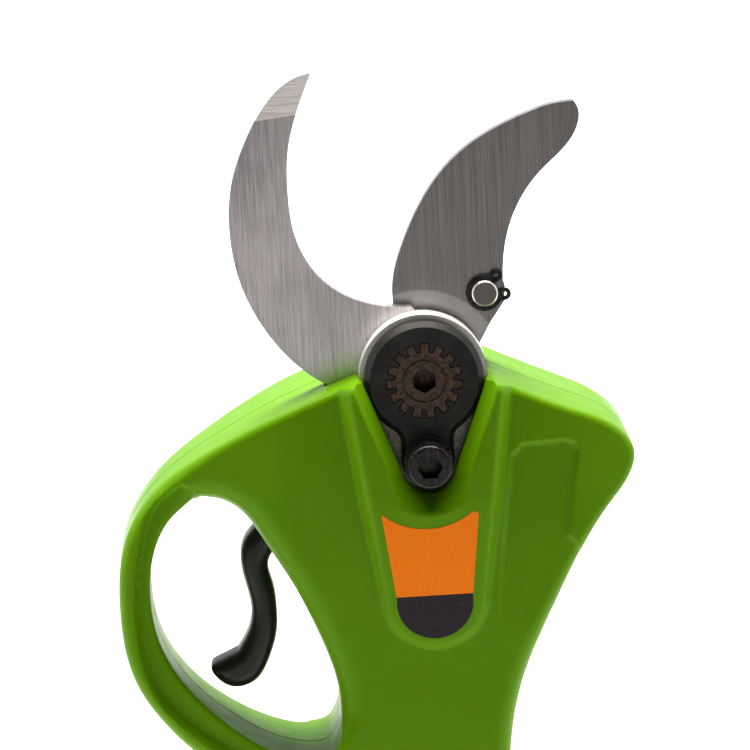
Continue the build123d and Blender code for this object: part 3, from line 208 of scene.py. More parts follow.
swing = ground("blade_steel", SWING_DARK, SWING_LIGHT, 0.28, 0.42,
               (0, math.radians(3), 0), (4200, 60, 36))
radius = swing.round_pivot()
band = swing.math("MULTIPLY", swing.steps(radius, 0.0146, 0.0150),
                  swing.steps(radius, 0.0182, 0.0190, 1.0, 0.0))
rings = swing.math("SINE", swing.math("MULTIPLY", radius, 26000))
swing.set("Base Color", swing.mix(swing.math("MULTIPLY", band, 0.75),
                                  swing.mix(swing.shade, SWING_DARK, SWING_LIGHT),
                                  swing.mix(swing.steps(rings, -1, 1), (0.42, 0.42, 0.43),
                                            (0.62, 0.61, 0.62))))

cast = Look("cast_alloy", (0.40, 0.39, 0.39), 0.5, 1.0)
radius = cast.round_pivot()
turned = cast.math("SINE", cast.math("MULTIPLY", radius, 30000))
_, y, z = cast.part()
rim = cast.math("MULTIPLY", cast.steps(radius, 0.0128, 0.0134),
                cast.math("MULTIPLY", cast.steps(y, -0.0035, -0.0030, 1.0, 0.0),
                          cast.steps(z, 0.2160, 0.2175)))
rough_cast = cast.noise(900, 5, 0.65)
cast.set("Base Color", cast.mix(rim, cast.mix(cast.steps(rough_cast, 0.3, 0.7), (0.24, 0.23, 0.22),
                                              (0.42, 0.41, 0.39)),
                                cast.mix(cast.steps(turned, -1, 1), (0.72, 0.71, 0.71),
                                         (0.86, 0.85, 0.85))))
cast.set("Roughness", cast.steps(rim, 0.0, 1.0, 0.62, 0.3))
cast.set("Metallic", cast.steps(rim, 0.0, 1.0, 1.0, 0.15))
cast.bump(rough_cast, 0.18, 0.00015)

brown = Look("phosphate_steel", (0.05, 0.035, 0.026), 0.5, 0.85)
grain = brown.noise(1500, 4, 0.6)
brown.set("Base Color", brown.mix(brown.steps(grain, 0.3, 0.7), (0.040, 0.027, 0.020),
                                  (0.115, 0.078, 0.056)))
brown.set("Roughness", brown.steps(brown.noise(500, 3), 0.3, 0.7, 0.38, 0.55))
brown.bump(grain, 0.15, 0.00008)

satin = Look("lock_plate_finish", (0.012, 0.012, 0.013), 0.42, 0.1)
satin.set("Specular IOR Level", 0.3)
peel = satin.noise(1800, 2, 0.5)
satin.set("Base Color", satin.mix(satin.steps(satin.noise(160, 4), 0.35, 0.65),
                                  (0.008, 0.008, 0.009), (0.020, 0.019, 0.020)))
satin.set("Roughness", satin.steps(peel, 0.3, 0.7, 0.34, 0.5))
satin.bump(peel, 0.16, 0.0001)

oxide = Look("black_oxide", (0.02, 0.02, 0.022), 0.36, 0.9)
speck = oxide.noise(1400, 4, 0.6)
oxide.set("Base Color", oxide.mix(oxide.steps(speck, 0.3, 0.7), (0.014, 0.014, 0.016),
                                  (0.055, 0.053, 0.055)))
oxide.set("Roughness", oxide.steps(oxide.noise(400, 3), 0.3, 0.7, 0.28, 0.46))
oxide.bump(speck, 0.12, 0.00006)


def metal(name, dark, light, low, high, scale=900):
    look = Look(name, dark, low, 1.0)
    marks = look.noise(scale, 4, 0.6)
    look.set("Base Color", look.mix(look.steps(marks, 0.3, 0.7), dark, light))
    look.set("Roughness", look.steps(look.noise(scale / 3, 3), 0.3, 0.7, low, high))
    look.bump(marks, 0.1, 0.00005)
    return look


bright = metal("bright_steel", (0.42, 0.41, 0.41), (0.62, 0.61, 0.61), 0.2, 0.34)
gear = metal("gear_steel", (0.30, 0.30, 0.31), (0.46, 0.46, 0.47), 0.28, 0.42)
bronze = metal("bronze", (0.42, 0.24, 0.08), (0.58, 0.36, 0.14), 0.32, 0.5)
copper = metal("copper", (0.55, 0.22, 0.10), (0.72, 0.34, 0.18), 0.25, 0.4)
magnet = metal("magnet", (0.06, 0.06, 0.065), (0.12, 0.12, 0.125), 0.5, 0.7)
board = moulded("circuit_board", (0.010, 0.09, 0.035), (0.015, 0.13, 0.05), 0.3, 0.05)
cover = moulded("wire_cover", (0.30, 0.01, 0.008), (0.38, 0.015, 0.01), 0.45, 0.05)
wrap = moulded("cell_wrap", (0.02, 0.08, 0.30), (0.03, 0.11, 0.36), 0.35, 0.03)

badge_look = Look("badge_print", (0.9, 0.2, 0.004), 0.45)
badge_look.set("Specular IOR Level", 0.12)
_, _, z = badge_look.part()
line = badge_look.math("SUBTRACT", z, (PIVOT_Z - 49.6) * MM)
field = badge_look.steps(line, -0.00012, 0.00012)
weave = badge_look.noise(2600, 3, 0.7)
orange = badge_look.mix(badge_look.steps(weave, 0.3, 0.7), (0.95, 0.195, 0.0006), (1.0, 0.235, 0.001))
dark = badge_look.mix(badge_look.steps(weave, 0.3, 0.7), (0.010, 0.008, 0.012), (0.030, 0.024, 0.034))
badge_look.set("Base Color", badge_look.mix(field, dark, orange))
badge_look.bump(weave, 0.1, 0.00008)

pin = Look("pin_face", (0.16, 0.15, 0.145), 0.36, 1.0)
x, _, z = pin.part()
dx = pin.math("SUBTRACT", x, 15.3 * MM)
dz = pin.math("SUBTRACT", z, (PIVOT_Z + 17.2) * MM)
far = pin.math("SQRT", pin.math("ADD", pin.math("MULTIPLY", dx, dx), pin.math("MULTIPLY", dz, dz)))
cut = pin.math("SINE", pin.math("MULTIPLY", far, 42000))
edge = pin.steps(far, 0.0025, 0.0028)
pin.set("Base Color", pin.mix(edge, pin.mix(pin.steps(cut, -1, 1), (0.13, 0.12, 0.115),
                                            (0.24, 0.225, 0.215)), (0.62, 0.60, 0.60)))
pin.bump(pin.noise(1500, 3), 0.1, 0.00006)

lime.put("housing_front", "housing_rear")
badge_look.put("badge")
black.put("battery_case", "battery_cover", "release_button", "power_button", "terminal_block",
          "trigger_switch", "power_switch", "motor_end_bell")
trigger_look.put("trigger")
hook.put("fixed_blade")
swing.put("moving_blade")
cast.put("gear_head", "gear_cover", "gearbox_plate")
brown.put("toothed_nut", "pivot_bolt")
satin.put("lock_plate")
oxide.put("lock_screw", "lock_washer", "pin_circlip", "housing_screws", "cover_screws",
          "battery_screws", "motor_screws")
bright.put("trigger_pin", "bearing_balls", "bearing_inner_ring", "bearing_outer_ring",
           "thrust_washer", "motor_shaft", "motor_can", "trigger_spring", "release_spring")
pin.put("drive_pin")
gear.put("sector_gear", "bevel_pinion", "ring_gear", "output_carrier", "sun_carrier",
         "motor_pinion", "rotor_core", "upper_planet_1", "upper_planet_2", "upper_planet_3",
         "lower_planet_1", "lower_planet_2", "lower_planet_3")
bronze.put("blade_bush")
copper.put("rotor_windings", "commutator", "battery_contacts", "motor_brushes")
magnet.put("motor_magnets")
board.put("control_board", "battery_board")
cover.put("wiring")
wrap.put("battery_cells")

# ------------------------------------------------------------------ housing shells
# Outlines are (x, z) in millimetres, measured from the blade pivot.
HANDLE_RUN = [(-52.7, -26.0), (-47.6, -26.7), (-42.3, -30.5), (-38.9, -35.8), (-33.2, -45.5),
              (-28.7, -55.5), (-25.1, -65.5), (-23.2, -75.0), (-23.4, -83.0)]
GUARD_RUN = [(-23.4, -83.0), (-26.0, -88.0), (-34.0, -88.5), (-45.0, -83.5), (-54.0, -76.3),
             (-59.4, -70.0), (-64.0, -61.0), (-65.6, -50.9), (-64.1, -39.0), (-58.6, -29.8),
             (-52.7, -26.0)]
LEFT_RUN = [(-15.0, 1.0), (-34.0, -6.3), (-50.4, -14.8), (-62.8, -23.7), (-70.3, -34.9),
            (-72.9, -51.0), (-70.2, -70.0), (-60.0, -84.5), (-42.0, -97.0), (-26.5, -105.0),
            (-22.4, -115.0), (-23.2, -129.0), (-30.0, -144.0), (-42.0, -156.0), (-45.0, -162.0)]
RIGHT_RUN = [(35.0, -162.0), (32.0, -155.0), (21.0, -143.5), (16.0, -128.0), (15.4, -112.0),
             (15.6, -92.0), (19.0, -74.0), (28.1, -53.6), (40.6, -32.6), (46.0, -25.8),
             (47.5, -20.5), (44.4, -14.8), (33.0, -8.3), (15.0, 0.0)]
DOCK_LEFT, DOCK_RIGHT, DOCK_BOTTOM = -45.0, 35.0, -172.7
FRONT_EDGE = [(-180.0, 23.0), (-156.0, 23.0), (-142.0, 20.0), (-125.0, 18.0), (-70.0, 18.4),
              (-45.0, 19.5), (-20.0, 20.5), (8.0, 19.5)]
ARM_EDGE = [(-80.0, 10.8), (-66.0, 11.4), (-52.0, 14.5), (-38.0, 18.5), (-30.0, 21.0),
            (28.0, 21.0), (40.0, 18.0), (60.0, 12.0)]
PANEL_EDGE = [(-80.0, 17.4), (-61.5, 20.0), (-27.0, 24.8), (-4.0, 25.0), (2.0, 23.6)]
REBATE = [(-53.4, -26.5), (-54.6, -23.2), (-56.5, -22.2), (-59.0, -23.2), (-63.2, -26.6),
          (-67.3, -35.5), (-69.4, -49.0), (-68.9, -62.0), (-65.5, -73.0), (-56.0, -83.0),
          (-42.0, -91.0), (-30.0, -93.5)]
RECESS = [(18.7, -18.4), (21.4, -15.7), (31.6, -15.3), (33.6, -16.4), (34.2, -18.4),
          (31.4, -38.0), (50.0, -60.0), (20.0, -84.0), (11.9, -76.0), (15.5, -41.7)]
SCREWS = [(-46.0, -19.7), (38.5, -21.0), (21.0, -52.0), (-18.6, -72.0), (-31.0, -95.5),
          (9.0, -110.5), (-26.0, -158.0), (23.0, -158.0)]
SCREW_WELL = 3.0
WELL_FLOOR = 8.0
BUTTON = (-5.0, -156.5)
BUTTON_HOLE = 4.4
BUTTON_SEAT = 19.2
TRIGGER_SLOT = 5.35
DOCK_CHANNEL = 12.4         # half width of the opening for the battery's neck
DOCK_RAIL = 15.4            # half width of the opening for the battery's rail
HOOK_SLOT = 10.3
NOTCH_DEPTH = {-1: 15.5, 1: 15.4}
SCOOP_START = {-1: 19.2, 1: 17.9}
REBATE_DEPTH = 2.5
RECESS_FLOOR = 19.0
SKIRT_SLOPE = 2.3
CELL = 0.45                 # grid spacing of the skins
RIM = 0.6                   # distance of the grid's border from the outline
SKIN = 2.2


def spline(points, spacing=0.8):
    """Natural cubic spline through points, by chord length."""
    p = np.array(points, float)
    t = np.concatenate([[0], np.cumsum(np.hypot(*np.diff(p, axis=0).T))])
    h = np.diff(t)
    n = len(p)
    a = np.zeros((n, n))
    b = np.zeros((n, 2))
    a[0, 0] = a[-1, -1] = 1
    for i in range(1, n - 1):
        a[i, i - 1:i + 2] = h[i - 1], 2 * (h[i - 1] + h[i]), h[i]
        b[i] = 6 * ((p[i + 1] - p[i]) / h[i] - (p[i] - p[i - 1]) / h[i - 1])
    m = np.linalg.solve(a, b)
    s = np.linspace(0, t[-1], max(2, int(round(t[-1] / spacing)) + 1))
    k = np.clip(np.searchsorted(t, s, side="right") - 1, 0, n - 2)
    u, w = (t[k + 1] - s)[:, None], (s - t[k])[:, None]
    hk = h[k][:, None]
    return (m[k] * u ** 3 + m[k + 1] * w ** 3) / (6 * hk) \
        + (p[k] / hk - m[k] * hk / 6) * u + (p[k + 1] / hk - m[k + 1] * hk / 6) * w


def divided(points, spacing=0.8):
    """Straight runs cut into short pieces."""
    out = []
    for a, b in zip(points[:-1], points[1:]):
        a, b = np.array(a, float), np.array(b, float)
        steps = max(1, int(round(np.linalg.norm(b - a) / spacing)))
        out += [a + (b - a) * i / steps for i in range(steps)]
    return np.array(out + [np.array(points[-1], float)])


def arc(start, mid, end, spacing=0.5):
    """Arc through three points."""
    a, b, c = (complex(*q) for q in (start, mid, end))
    w = (c - a) / (b - a)
    centre = (a - b) * (w - abs(w) ** 2) / (2j * w.imag) - a
    centre = -centre
    r = abs(a - centre)
    t0, tm, t1 = (math.atan2((q - centre).imag, (q - centre).real) for q in (a, b, c))
    turn = (t1 - t0) % (2 * math.pi)
    if (tm - t0) % (2 * math.pi) > turn:
        turn -= 2 * math.pi
    t = t0 + turn * np.linspace(0, 1, max(3, int(abs(turn) * r / spacing) + 1))
    return np.stack([centre.real + r * np.cos(t), centre.imag + r * np.sin(t)], 1)


def circle(centre, radius, count=40):
    t = np.linspace(0, 2 * math.pi, count, endpoint=False)
    return np.stack([centre[0] + radius * np.cos(t), centre[1] + radius * np.sin(t)], 1)


def joined(*runs):
    """Runs laid end to end, without the points they share."""
    out = [runs[0]]
    for run in runs[1:]:
        out.append(run[1:] if np.allclose(run[0], out[-1][-1], atol=1e-6) else run)
    whole = np.concatenate(out)
    return whole[:-1] if np.allclose(whole[0], whole[-1], atol=1e-6) else whole


def nearest(points, loop, closed=True):
    """Distance to a polygon's edge and the foot of each point on it."""
    a = loop if closed else loop[:-1]
    b = np.roll(loop, -1, axis=0) if closed else loop[1:]
    ab = b - a
    length = np.maximum((ab ** 2).sum(1), 1e-12)
    best = np.full(len(points), 1e9)
    foot = np.zeros((len(points), 2))
    for i in range(0, len(points), 4000):
        p = points[i:i + 4000]
        t = np.clip(((p[:, None] - a) * ab).sum(2) / length, 0, 1)
        q = a + t[..., None] * ab
        d = ((p[:, None] - q) ** 2).sum(2)
        k = d.argmin(1)
        rows = np.arange(len(p))
        best[i:i + 4000] = np.sqrt(d[rows, k])
        foot[i:i + 4000] = q[rows, k]
    return best, foot


def inside(points, loop):
    """Even-odd test of points against a polygon."""
    x, z = points[:, 0], points[:, 1]
    found = np.zeros(len(points), bool)
    for (ax, az), (bx, bz) in zip(loop, np.roll(loop, -1, axis=0)):
        if az == bz:
            continue
        crosses = (az > z) != (bz > z)
        found ^= crosses & (x < (bx - ax) * (z - az) / (bz - az) + ax)
    return found


def signed(points, loop):
    """Distance to a polygon's edge, negative inside."""
    d, _ = nearest(points, loop)
    return np.where(inside(points, loop), -d, d)


def soft_min(a, b, width):
    h = np.clip(0.5 + 0.5 * (b - a) / width, 0, 1)
    return b + (a - b) * h - width * h * (1 - h)


def soft_max(a, b, width):
    return -soft_min(-a, -b, width)


def ease(value, low, high):
    t = np.clip((value - low) / (high - low), 0, 1)
    return t * t * (3 - 2 * t)


def eased_line(value, table, width=5.0):
    """A broken line read from a table, with its corners rounded off."""
    xs, ys = np.array(table).T
    return sum(np.interp(value + width * s, xs, ys) for s in (-0.7, -0.35, 0, 0.35, 0.7)) / 5


def rounding(distance, radius):
    """How far a rounded edge falls away, near the outline."""
    left = np.clip(radius - distance, 0, radius)
    return radius - np.sqrt(np.maximum(radius ** 2 - left ** 2, 0))


NOTCH = {
    -1: joined(divided([(14.35, 0.0), (6.2, -20.7)]), arc((6.2, -20.7), (0, -26.3), (-6.2, -20.7)),
               divided([(-6.2, -20.7), (-14.35, 1.0)])),
    1: joined(divided([(14.35, 0.0), (9.8, -12.0)]), arc((9.8, -12.0), (0, -19.0), (-9.8, -12.0)),
              divided([(-9.8, -12.0), (-14.35, 1.0)])),
}
LOOP = joined(spline(HANDLE_RUN), spline(GUARD_RUN))
U_PANEL = joined(divided([(-11.4, -50.0), (-18.6, 8.0)]), divided([(-18.6, 8.0), (18.6, 8.0)]),
                 divided([(18.6, 8.0), (11.4, -50.0)]),
                 arc((11.4, -50.0), (0, -62.5), (-11.4, -50.0)))
REBATE_EDGE = joined(spline(REBATE), divided([(-30, -93.5), (-30, -80), (-50, -50), (-53.4, -26.5)]))
RECESS_EDGE = divided(RECESS + [RECESS[0]])[:-1]
SILHOUETTE = np.concatenate([spline(RIGHT_RUN)[::-1],
                             divided([(DOCK_RIGHT, -162.0), (DOCK_RIGHT, DOCK_BOTTOM),
                                      (DOCK_LEFT, DOCK_BOTTOM), (DOCK_LEFT, -162.0)])[1:-1],
                             spline(LEFT_RUN)[::-1]])


def depth(points, side):
    """How far the outer face stands from the parting plane, side -1 in front and 1 behind."""
    x, z = points[:, 0], points[:, 1]
    h = soft_min(eased_line(z, FRONT_EDGE, 6.0), eased_line(x, ARM_EDGE, 4.0), 1.5)
    d_out, foot = nearest(points, SILHOUETTE, closed=False)
    d_loop, foot_loop = nearest(points, LOOP)
    grip = ease(foot[:, 1], -25.0, -75.0)
    guard = ease(foot[:, 0], -45.0, -62.0)
    dock = ease(foot[:, 1], -150.0, -162.0)
    radius = 1.7 + 2.8 * grip * (1 - guard) * (1 - dock) + 1.3 * guard + 0.8 * dock
    on_handle = ease(foot_loop[:, 0] + 0.25 * foot_loop[:, 1], -66.5, -58.0) \
        * ease(foot_loop[:, 1], -86.0, -78.0)
    loop_radius = 1.3 + 4.6 * on_handle
    if side < 0:
        d_u = signed(points, U_PANEL)
        outside = 0.45 * np.logaddexp(0, (d_u - 0.1) / 0.45)
        panel = eased_line(z, PANEL_EDGE, 3.0) - SKIRT_SLOPE * outside
        h = soft_max(h, panel, 0.9)
        d_r = signed(points, RECESS_EDGE)
        floor_face = RECESS_FLOOR - 0.02 * (x - 12.0)
        floor_face = np.minimum(floor_face, h)
        h = h + (floor_face - h) * (1 - ease(d_r, -0.9, 0.3))
    d_guard = signed(points, REBATE_EDGE)
    h = h - REBATE_DEPTH * (1 - ease(d_guard, -1.0, 0.2)) * (1 - ease(x, -34.0, -28.0))
    h = h - np.maximum(rounding(d_out, radius), rounding(d_loop, loop_radius))
    d_notch, foot_notch = nearest(points, NOTCH[side], closed=False)
    if side < 0:
        slope = 1.5 + 0.85 * ease(foot_notch[:, 1], -25.5, -16.0)
        h = soft_min(h, SCOOP_START[side] + slope * d_notch, 0.9)
    else:
        h = soft_min(h, SCOOP_START[side] + 1.5 * d_notch, 0.6)
    return h


def rim_depth(foot, side):
    """How far back the wall at the outline reaches: the parting plane, or an opening."""
    x, z = foot[:, 0], foot[:, 1]
    low = np.zeros(len(foot))
    slot = (z < -31.0) & (z > -47.5) & (x > -41.5) & (x < -30.0)
    low[slot] = TRIGGER_SLOT
    low[z < DOCK_BOTTOM + 0.05] = DOCK_CHANNEL
    low[(x > DOCK_RIGHT - 0.05) & (z < -170.0)] = DOCK_CHANNEL
    low[(x > DOCK_RIGHT - 0.05) & (z < -165.6) & (z >= -170.0)] = DOCK_RAIL
    near, _ = nearest(foot, NOTCH[side], closed=False)
    low[near < 0.05] = NOTCH_DEPTH[side]
    if side < 0:
        low[(z > -8.0) & (x < -14.0) & (x > -22.8)] = HOOK_SLOT
        low[np.hypot(x - BUTTON[0], z - BUTTON[1]) < BUTTON_HOLE + 0.6] = BUTTON_SEAT
    else:
        for sx, sz in SCREWS:
            low[np.hypot(x - sx, z - sz) < SCREW_WELL + 0.3] = WELL_FLOOR
    return low


def fitted_grid(outer, holes, cell, rim):
    """A square grid inside an outline, its border pulled to a steady distance from the edge."""
    low, high = outer.min(0) - cell, outer.max(0) + cell
    xs, zs = np.arange(low[0], high[0], cell), np.arange(low[1], high[1], cell)
    nz = len(zs)
    points = np.stack(np.meshgrid(xs, zs, indexing="ij"), -1).reshape(-1, 2)

    def field(p):
        d, foot = nearest(p, outer)
        within = inside(p, outer)
        for hole in holes:
            dh, fh = nearest(p, hole)
            within &= ~inside(p, hole)
            closer = dh < d
            d = np.where(closer, dh, d)
            foot = np.where(closer[:, None], fh, foot)
        return np.where(within, d, -d), foot

    some = np.nonzero(inside(points, outer))[0]
    d = np.full(len(points), -9.0)
    d[some], _ = field(points[some])
    good = (d >= rim - 0.5 * cell).reshape(len(xs), nz)
    full = good[:-1, :-1] & good[1:, :-1] & good[:-1, 1:] & good[1:, 1:]
    for _ in range(3):
        edge = np.pad(full, 1)
        around = edge[:-2, 1:-1] + 0 + edge[2:, 1:-1] + edge[1:-1, :-2] + edge[1:-1, 2:]
        full &= around > 1
    i, k = np.nonzero(full)
    quads = np.stack([i * nz + k, (i + 1) * nz + k, (i + 1) * nz + k + 1, i * nz + k + 1], 1)
    used, quads = np.unique(quads, return_inverse=True)
    quads = quads.reshape(-1, 4)
    flat = points[used]
    edges = np.concatenate([quads[:, [0, 1]], quads[:, [1, 2]], quads[:, [2, 3]], quads[:, [3, 0]]])
    _, first, count = np.unique(np.sort(edges, 1), axis=0, return_index=True, return_counts=True)
    border = edges[first[count == 1]]
    ring = np.unique(border)
    for _ in range(3):
        dr, fr = field(flat[ring])
        away = flat[ring] - fr
        away /= np.maximum(np.linalg.norm(away, axis=1), 1e-9)[:, None] * np.sign(dr)[:, None]
        flat[ring] += (rim - dr)[:, None] * away
        pull = np.zeros_like(flat)
        weight = np.zeros(len(flat))
        np.add.at(pull, border[:, 0], flat[border[:, 1]])
        np.add.at(pull, border[:, 1], flat[border[:, 0]])
        np.add.at(weight, border.ravel(), 1)
        flat[ring] = 0.6 * flat[ring] + 0.4 * pull[ring] / weight[ring][:, None]
    _, feet = field(flat[ring])
    return flat, quads, ring, border, feet


def stitched(name, layers, quads, ring, border, flip, material, sharp=50):
    """Closed mesh from a stack of layers: whole grids first and last, border rings between."""
    place = np.full(len(layers[0]), -1)
    place[ring] = np.arange(len(ring))
    verts = np.concatenate(layers)
    verts[:, 2] += PIVOT_Z
    starts = np.concatenate([[0], np.cumsum([len(v) for v in layers])[:-1]])
    a, b = border[:, 0], border[:, 1]
    faces = [quads]
    for n in range(len(layers) - 1):
        upper = (a, b) if n == 0 else (place[a], place[b])
        lower = (a, b) if n == len(layers) - 2 else (place[a], place[b])
        faces.append(np.stack([starts[n] + upper[1], starts[n] + upper[0],
                               starts[n + 1] + lower[0], starts[n + 1] + lower[1]], 1))
    faces.append(starts[-1] + quads[:, ::-1])
    faces = np.concatenate(faces)
    if flip:
        faces = faces[:, ::-1]
    mesh = bpy.data.meshes.new(name)
    mesh.from_pydata((verts * MM).tolist(), [], faces.tolist())
    mesh.validate()
    mesh.shade_smooth()
    mesh.set_sharp_from_angle(angle=math.radians(sharp))
    piece = bpy.data.objects.new(name, mesh)
    bpy.context.scene.collection.objects.link(piece)
    mesh.materials.append(material)
    return piece


def raised(points, height):
    """Points in the picture plane carried to a depth."""
    return np.column_stack([points[:, 0], height * np.ones(len(points)), points[:, 1]])


def shell(name, side):
    """One moulded half of the housing as a closed skin."""
    outer = joined(SILHOUETTE, NOTCH[side][::-1])
    holes = [LOOP]
    if side < 0:
        holes.append(circle(BUTTON, BUTTON_HOLE))
    else:
        holes += [circle(place, SCREW_WELL) for place in SCREWS]
    flat, quads, ring, border, feet = fitted_grid(outer, holes, CELL, RIM)
    edge = flat[ring]
    low = rim_depth(feet, side)
    top = depth(flat, side)
    layers = [raised(flat, side * top)]
    for share in (0.75, 0.5, 0.28, 0.1, 0.0):
        row = feet + (edge - feet) * share
        height = depth(row, side)
        if share == 0.0:
            height = np.maximum(height, low + 0.7)
        layers.append(raised(row, side * height))
    inward = edge - feet
    inward /= np.maximum(np.linalg.norm(inward, axis=1), 1e-9)[:, None]
    groove = np.where(low == 0.0, 1.0, 0.0)[:, None] * inward
    layers.append(raised(feet, side * (low + 0.3)))
    layers.append(raised(feet + 0.22 * groove, side * (low + 0.12)))
    layers.append(raised(feet + 0.16 * groove + 0.1 * inward, side * (low + 0.02)))
    layers.append(raised(edge, side * (low + 0.02)))
    under = np.maximum(top - SKIN, 4.0)
    under[ring] = np.maximum(under[ring], low + 0.3)
    layers.append(raised(flat, side * under))
    return stitched(name, layers, quads, ring, border, side > 0, lime.mat)


front = shell("housing_front_skin", -1)
rear = shell("housing_rear_skin", 1)
for piece, node in ((front, "housing_front"), (rear, "housing_rear")):
    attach(piece, "body")
    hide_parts(node)


# ------------------------------------------------------------------ trigger
TRIGGER_BACK = [(-36, -31.6), (-40.2, -35.2), (-43.6, -39.3), (-44.3, -44.5), (-43, -51.4),
                (-42.6, -56.8), (-43.7, -60.8), (-46.3, -65.2)]
TRIGGER_FRONT = [(-46.3, -65.2), (-50.6, -67.1), (-52.8, -68.6), (-51.8, -71.3), (-47, -74),
                 (-42.5, -72.6), (-38.9, -67.2), (-37, -61.5), (-36.6, -55), (-37.3, -49),
                 (-38, -44.6), (-36.2, -41.2), (-31.5, -37.2)]
TRIGGER_HALF = 4.95
TRIGGER_ROUND = 3.1


def rounded_slab(name, outline, holes, middle, half, radius, cell, rim, material):
    """A closed slab with rounded edges on both faces."""
    flat, quads, ring, border, feet = fitted_grid(outline, holes, cell, rim)
    edge = flat[ring]

    def height(points):
        d, _ = nearest(points, outline)
        for hole in holes:
            d = np.minimum(d, nearest(points, hole)[0])
        return half - rounding(d, radius)

    levels = (0.7, 0.4, 0.2, 0.06)
    layers = [raised(flat, middle - height(flat))]
    for share in levels:
        row = feet + (edge - feet) * share
        layers.append(raised(row, middle - height(row)))
    layers.append(raised(feet, middle - half + radius))
    layers.append(raised(feet, middle + half - radius))
    for share in reversed(levels):
        row = feet + (edge - feet) * share
        layers.append(raised(row, middle + height(row)))
    layers.append(raised(flat, middle + height(flat)))
    return stitched(name, layers, quads, ring, border, False, material, 60)


trigger_outline = joined(divided([(-31.5, -37.2), (-27.6, -35.2)]),
                         arc((-27.6, -35.2), (-28.3, -30.8), (-33.0, -30.3)),
                         divided([(-33.0, -30.3), (-36, -31.6)]), spline(TRIGGER_BACK, 0.5),
                         spline(TRIGGER_FRONT, 0.5))
lever = rounded_slab("trigger_skin", trigger_outline, [], 0.0, TRIGGER_HALF, TRIGGER_ROUND, 0.4,
                     0.7, trigger_look.mat)
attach(lever, "trigger_lever")
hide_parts("trigger")

# ------------------------------------------------------------------ circlip
PIN = np.array([15.3, 17.2])
CLIP_OUTER, CLIP_INNER, LUG_HOLE, LUG_OUTER = 4.25, 2.9, 0.5, 1.5
LUGS = [(53.0, 4.7), (-6.0, 4.6)]


def clip_outline():
    """Ring with a gap between two lugs, run once round from one lug to the other."""
    def at(angle, radius):
        return PIN + radius * np.array([math.cos(math.radians(angle)), math.sin(math.radians(angle))])

    (first, reach), (last, last_reach) = LUGS
    outer_run = np.array([at(a, CLIP_OUTER) for a in np.arange(first + 22, last + 360 - 20, 4.0)])
    inner_run = np.array([at(a, CLIP_INNER) for a in np.arange(last + 360 + 14, first - 14, -4.0)])
    low_lug, high_lug = at(last, last_reach), at(first, reach)
    low = [low_lug + LUG_OUTER * np.array([math.cos(t), math.sin(t)])
           for t in np.radians(np.arange(last - 70, last + 91, 20.0))]
    high = [high_lug + LUG_OUTER * np.array([math.cos(t), math.sin(t)])
            for t in np.radians(np.arange(first - 90, first + 71, 20.0))]
    path = np.concatenate([outer_run, low, inner_run, high])
    return divided(np.concatenate([path, path[:1]]), 0.15)[:-1], [circle(low_lug, LUG_HOLE, 20),
                                                                 circle(high_lug, LUG_HOLE, 20)]


clip_low, clip_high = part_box("pin_circlip")
clip_path, clip_holes = clip_outline()
clip = rounded_slab("circlip_skin", clip_path, clip_holes, 500 * (clip_low[1] + clip_high[1]),
                    500 * (clip_high[1] - clip_low[1]), 0.22, 0.13, 0.16,
                    nodes["pin_circlip"].data.materials[0])
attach(clip, "swinging_blade")
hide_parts("pin_circlip")

# ------------------------------------------------------------------ studio
floor_mesh = bpy.data.meshes.new("floor")
floor_mesh.from_pydata([(-6, -4, 0), (6, -4, 0), (6, 8, 0), (-6, 8, 0)], [], [(0, 1, 2, 3)])
floor = bpy.data.objects.new("floor", floor_mesh)
bpy.context.scene.collection.objects.link(floor)
floor_look = Look("floor_paper", (0.93, 0.93, 0.93), 0.9)
_, floor_y, _ = floor_look.part()
paper = floor_look.mix(floor_look.noise(12, 3), (0.92, 0.92, 0.92), (0.95, 0.95, 0.95))
# Floor colour: dark grey towards the camera side, white behind.
floor_front_grey = floor_look.mix(floor_look.noise(12, 3), (0.38, 0.38, 0.38), (0.42, 0.42, 0.42))
floor_look.set("Base Color", floor_look.mix(floor_look.steps(floor_y, -0.45, 0.15), floor_front_grey, paper))
floor_mesh.materials.append(floor_look.mat)

world = bpy.data.worlds.new("studio")
bpy.context.scene.world = world
world.use_nodes = True
sky = world.node_tree
toward = sky.nodes.new("ShaderNodeTexCoord")
split = sky.nodes.new("ShaderNodeSeparateXYZ")
sky.links.new(toward.outputs["Generated"], split.inputs[0])
ramp = sky.nodes.new("ShaderNodeMapRange")
ramp.interpolation_type = "SMOOTHSTEP"
ramp.inputs["From Min"].default_value = -0.45
ramp.inputs["From Max"].default_value = 0.35
ramp.inputs["To Min"].default_value = 0.07
ramp.inputs["To Max"].default_value = 1.0
sky.links.new(split.outputs[1], ramp.inputs["Value"])
sky.links.new(ramp.outputs[0], sky.nodes["Background"].inputs["Strength"])
sky.nodes["Background"].inputs["Color"].default_value = (1, 1, 1, 1)


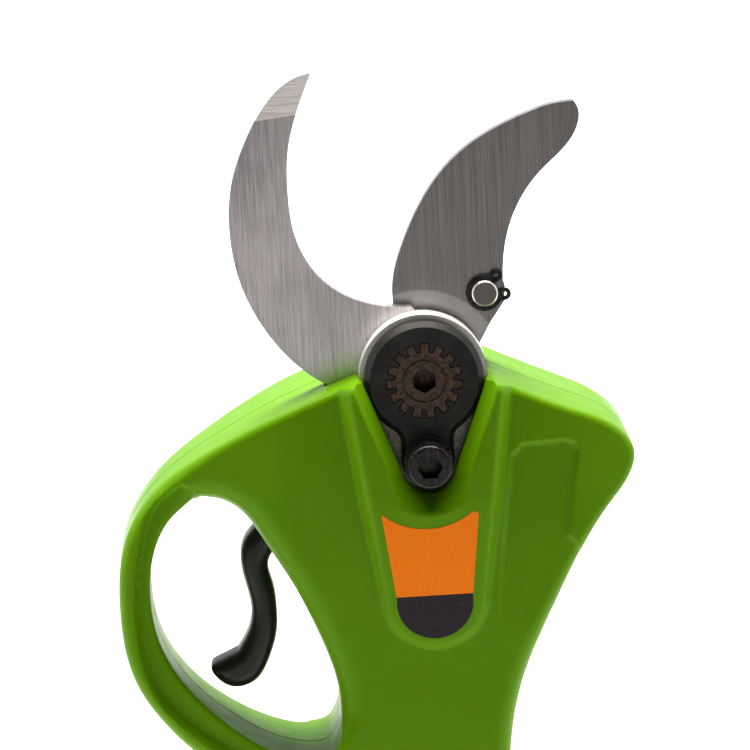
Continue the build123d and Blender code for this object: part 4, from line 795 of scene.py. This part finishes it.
def area_light(name, place, aim, size, power, high=None, tint=(1.0, 1.0, 1.0)):
    data = bpy.data.lights.new(name, "AREA")
    data.shape = "RECTANGLE"
    data.size = size
    data.size_y = high or size
    data.energy = power
    data.color = tint
    lamp = bpy.data.objects.new(name, data)
    lamp.location = place
    lamp.rotation_mode = "QUATERNION"
    lamp.rotation_quaternion = (Vector(aim) - Vector(place)).to_track_quat("-Z", "Y")
    bpy.context.scene.collection.objects.link(lamp)
    return lamp


centre = (0.0, 0.0, 0.2)
area_light("top_light", (0.0, 0.14, 1.15), centre, 1.1, 36.0, 0.5, (1.0, 0.94, 0.80))
area_light("left_light", (-0.85, 0.1, 0.55), centre, 0.5, 2.6, 0.9)
area_light("right_light", (0.85, 0.1, 0.5), centre, 0.5, 2.2, 0.9)
area_light("back_light", (0.0, 1.6, 1.2), (0.0, 3.0, 0.0), 2.0, 60.0)

bpy.context.scene.view_settings.view_transform = "Standard"

# ------------------------------------------------------------------ camera
ELEVATION = math.radians(12.0)
AZIMUTH = math.radians(-1.5)
ROLL = math.radians(3.2)
LENS = 190.5
DISTANCE = 0.9
AIM_SHIFT = (0.011202, 0.001361)

back = Vector((math.sin(AZIMUTH) * math.cos(ELEVATION),
               -math.cos(AZIMUTH) * math.cos(ELEVATION), math.sin(ELEVATION)))
level = Vector((math.cos(AZIMUTH), math.sin(AZIMUTH), 0.0))
upward = back.cross(level)
right = level * math.cos(ROLL) - upward * math.sin(ROLL)
top = level * math.sin(ROLL) + upward * math.cos(ROLL)
aim = Vector((0.0, -0.019, PIVOT_Z * MM))
camera_data = bpy.data.cameras.new("camera")
camera_data.lens = LENS
camera_data.sensor_width = 36.0
camera_data.clip_start = 0.01
camera_data.clip_end = 30.0
camera = bpy.data.objects.new("camera", camera_data)
camera.location = aim + DISTANCE * back - right * AIM_SHIFT[0] + top * AIM_SHIFT[1]
camera.rotation_mode = "QUATERNION"
camera.rotation_quaternion = Matrix((right, top, back)).transposed().to_quaternion()
bpy.context.scene.collection.objects.link(camera)
bpy.context.scene.camera = camera
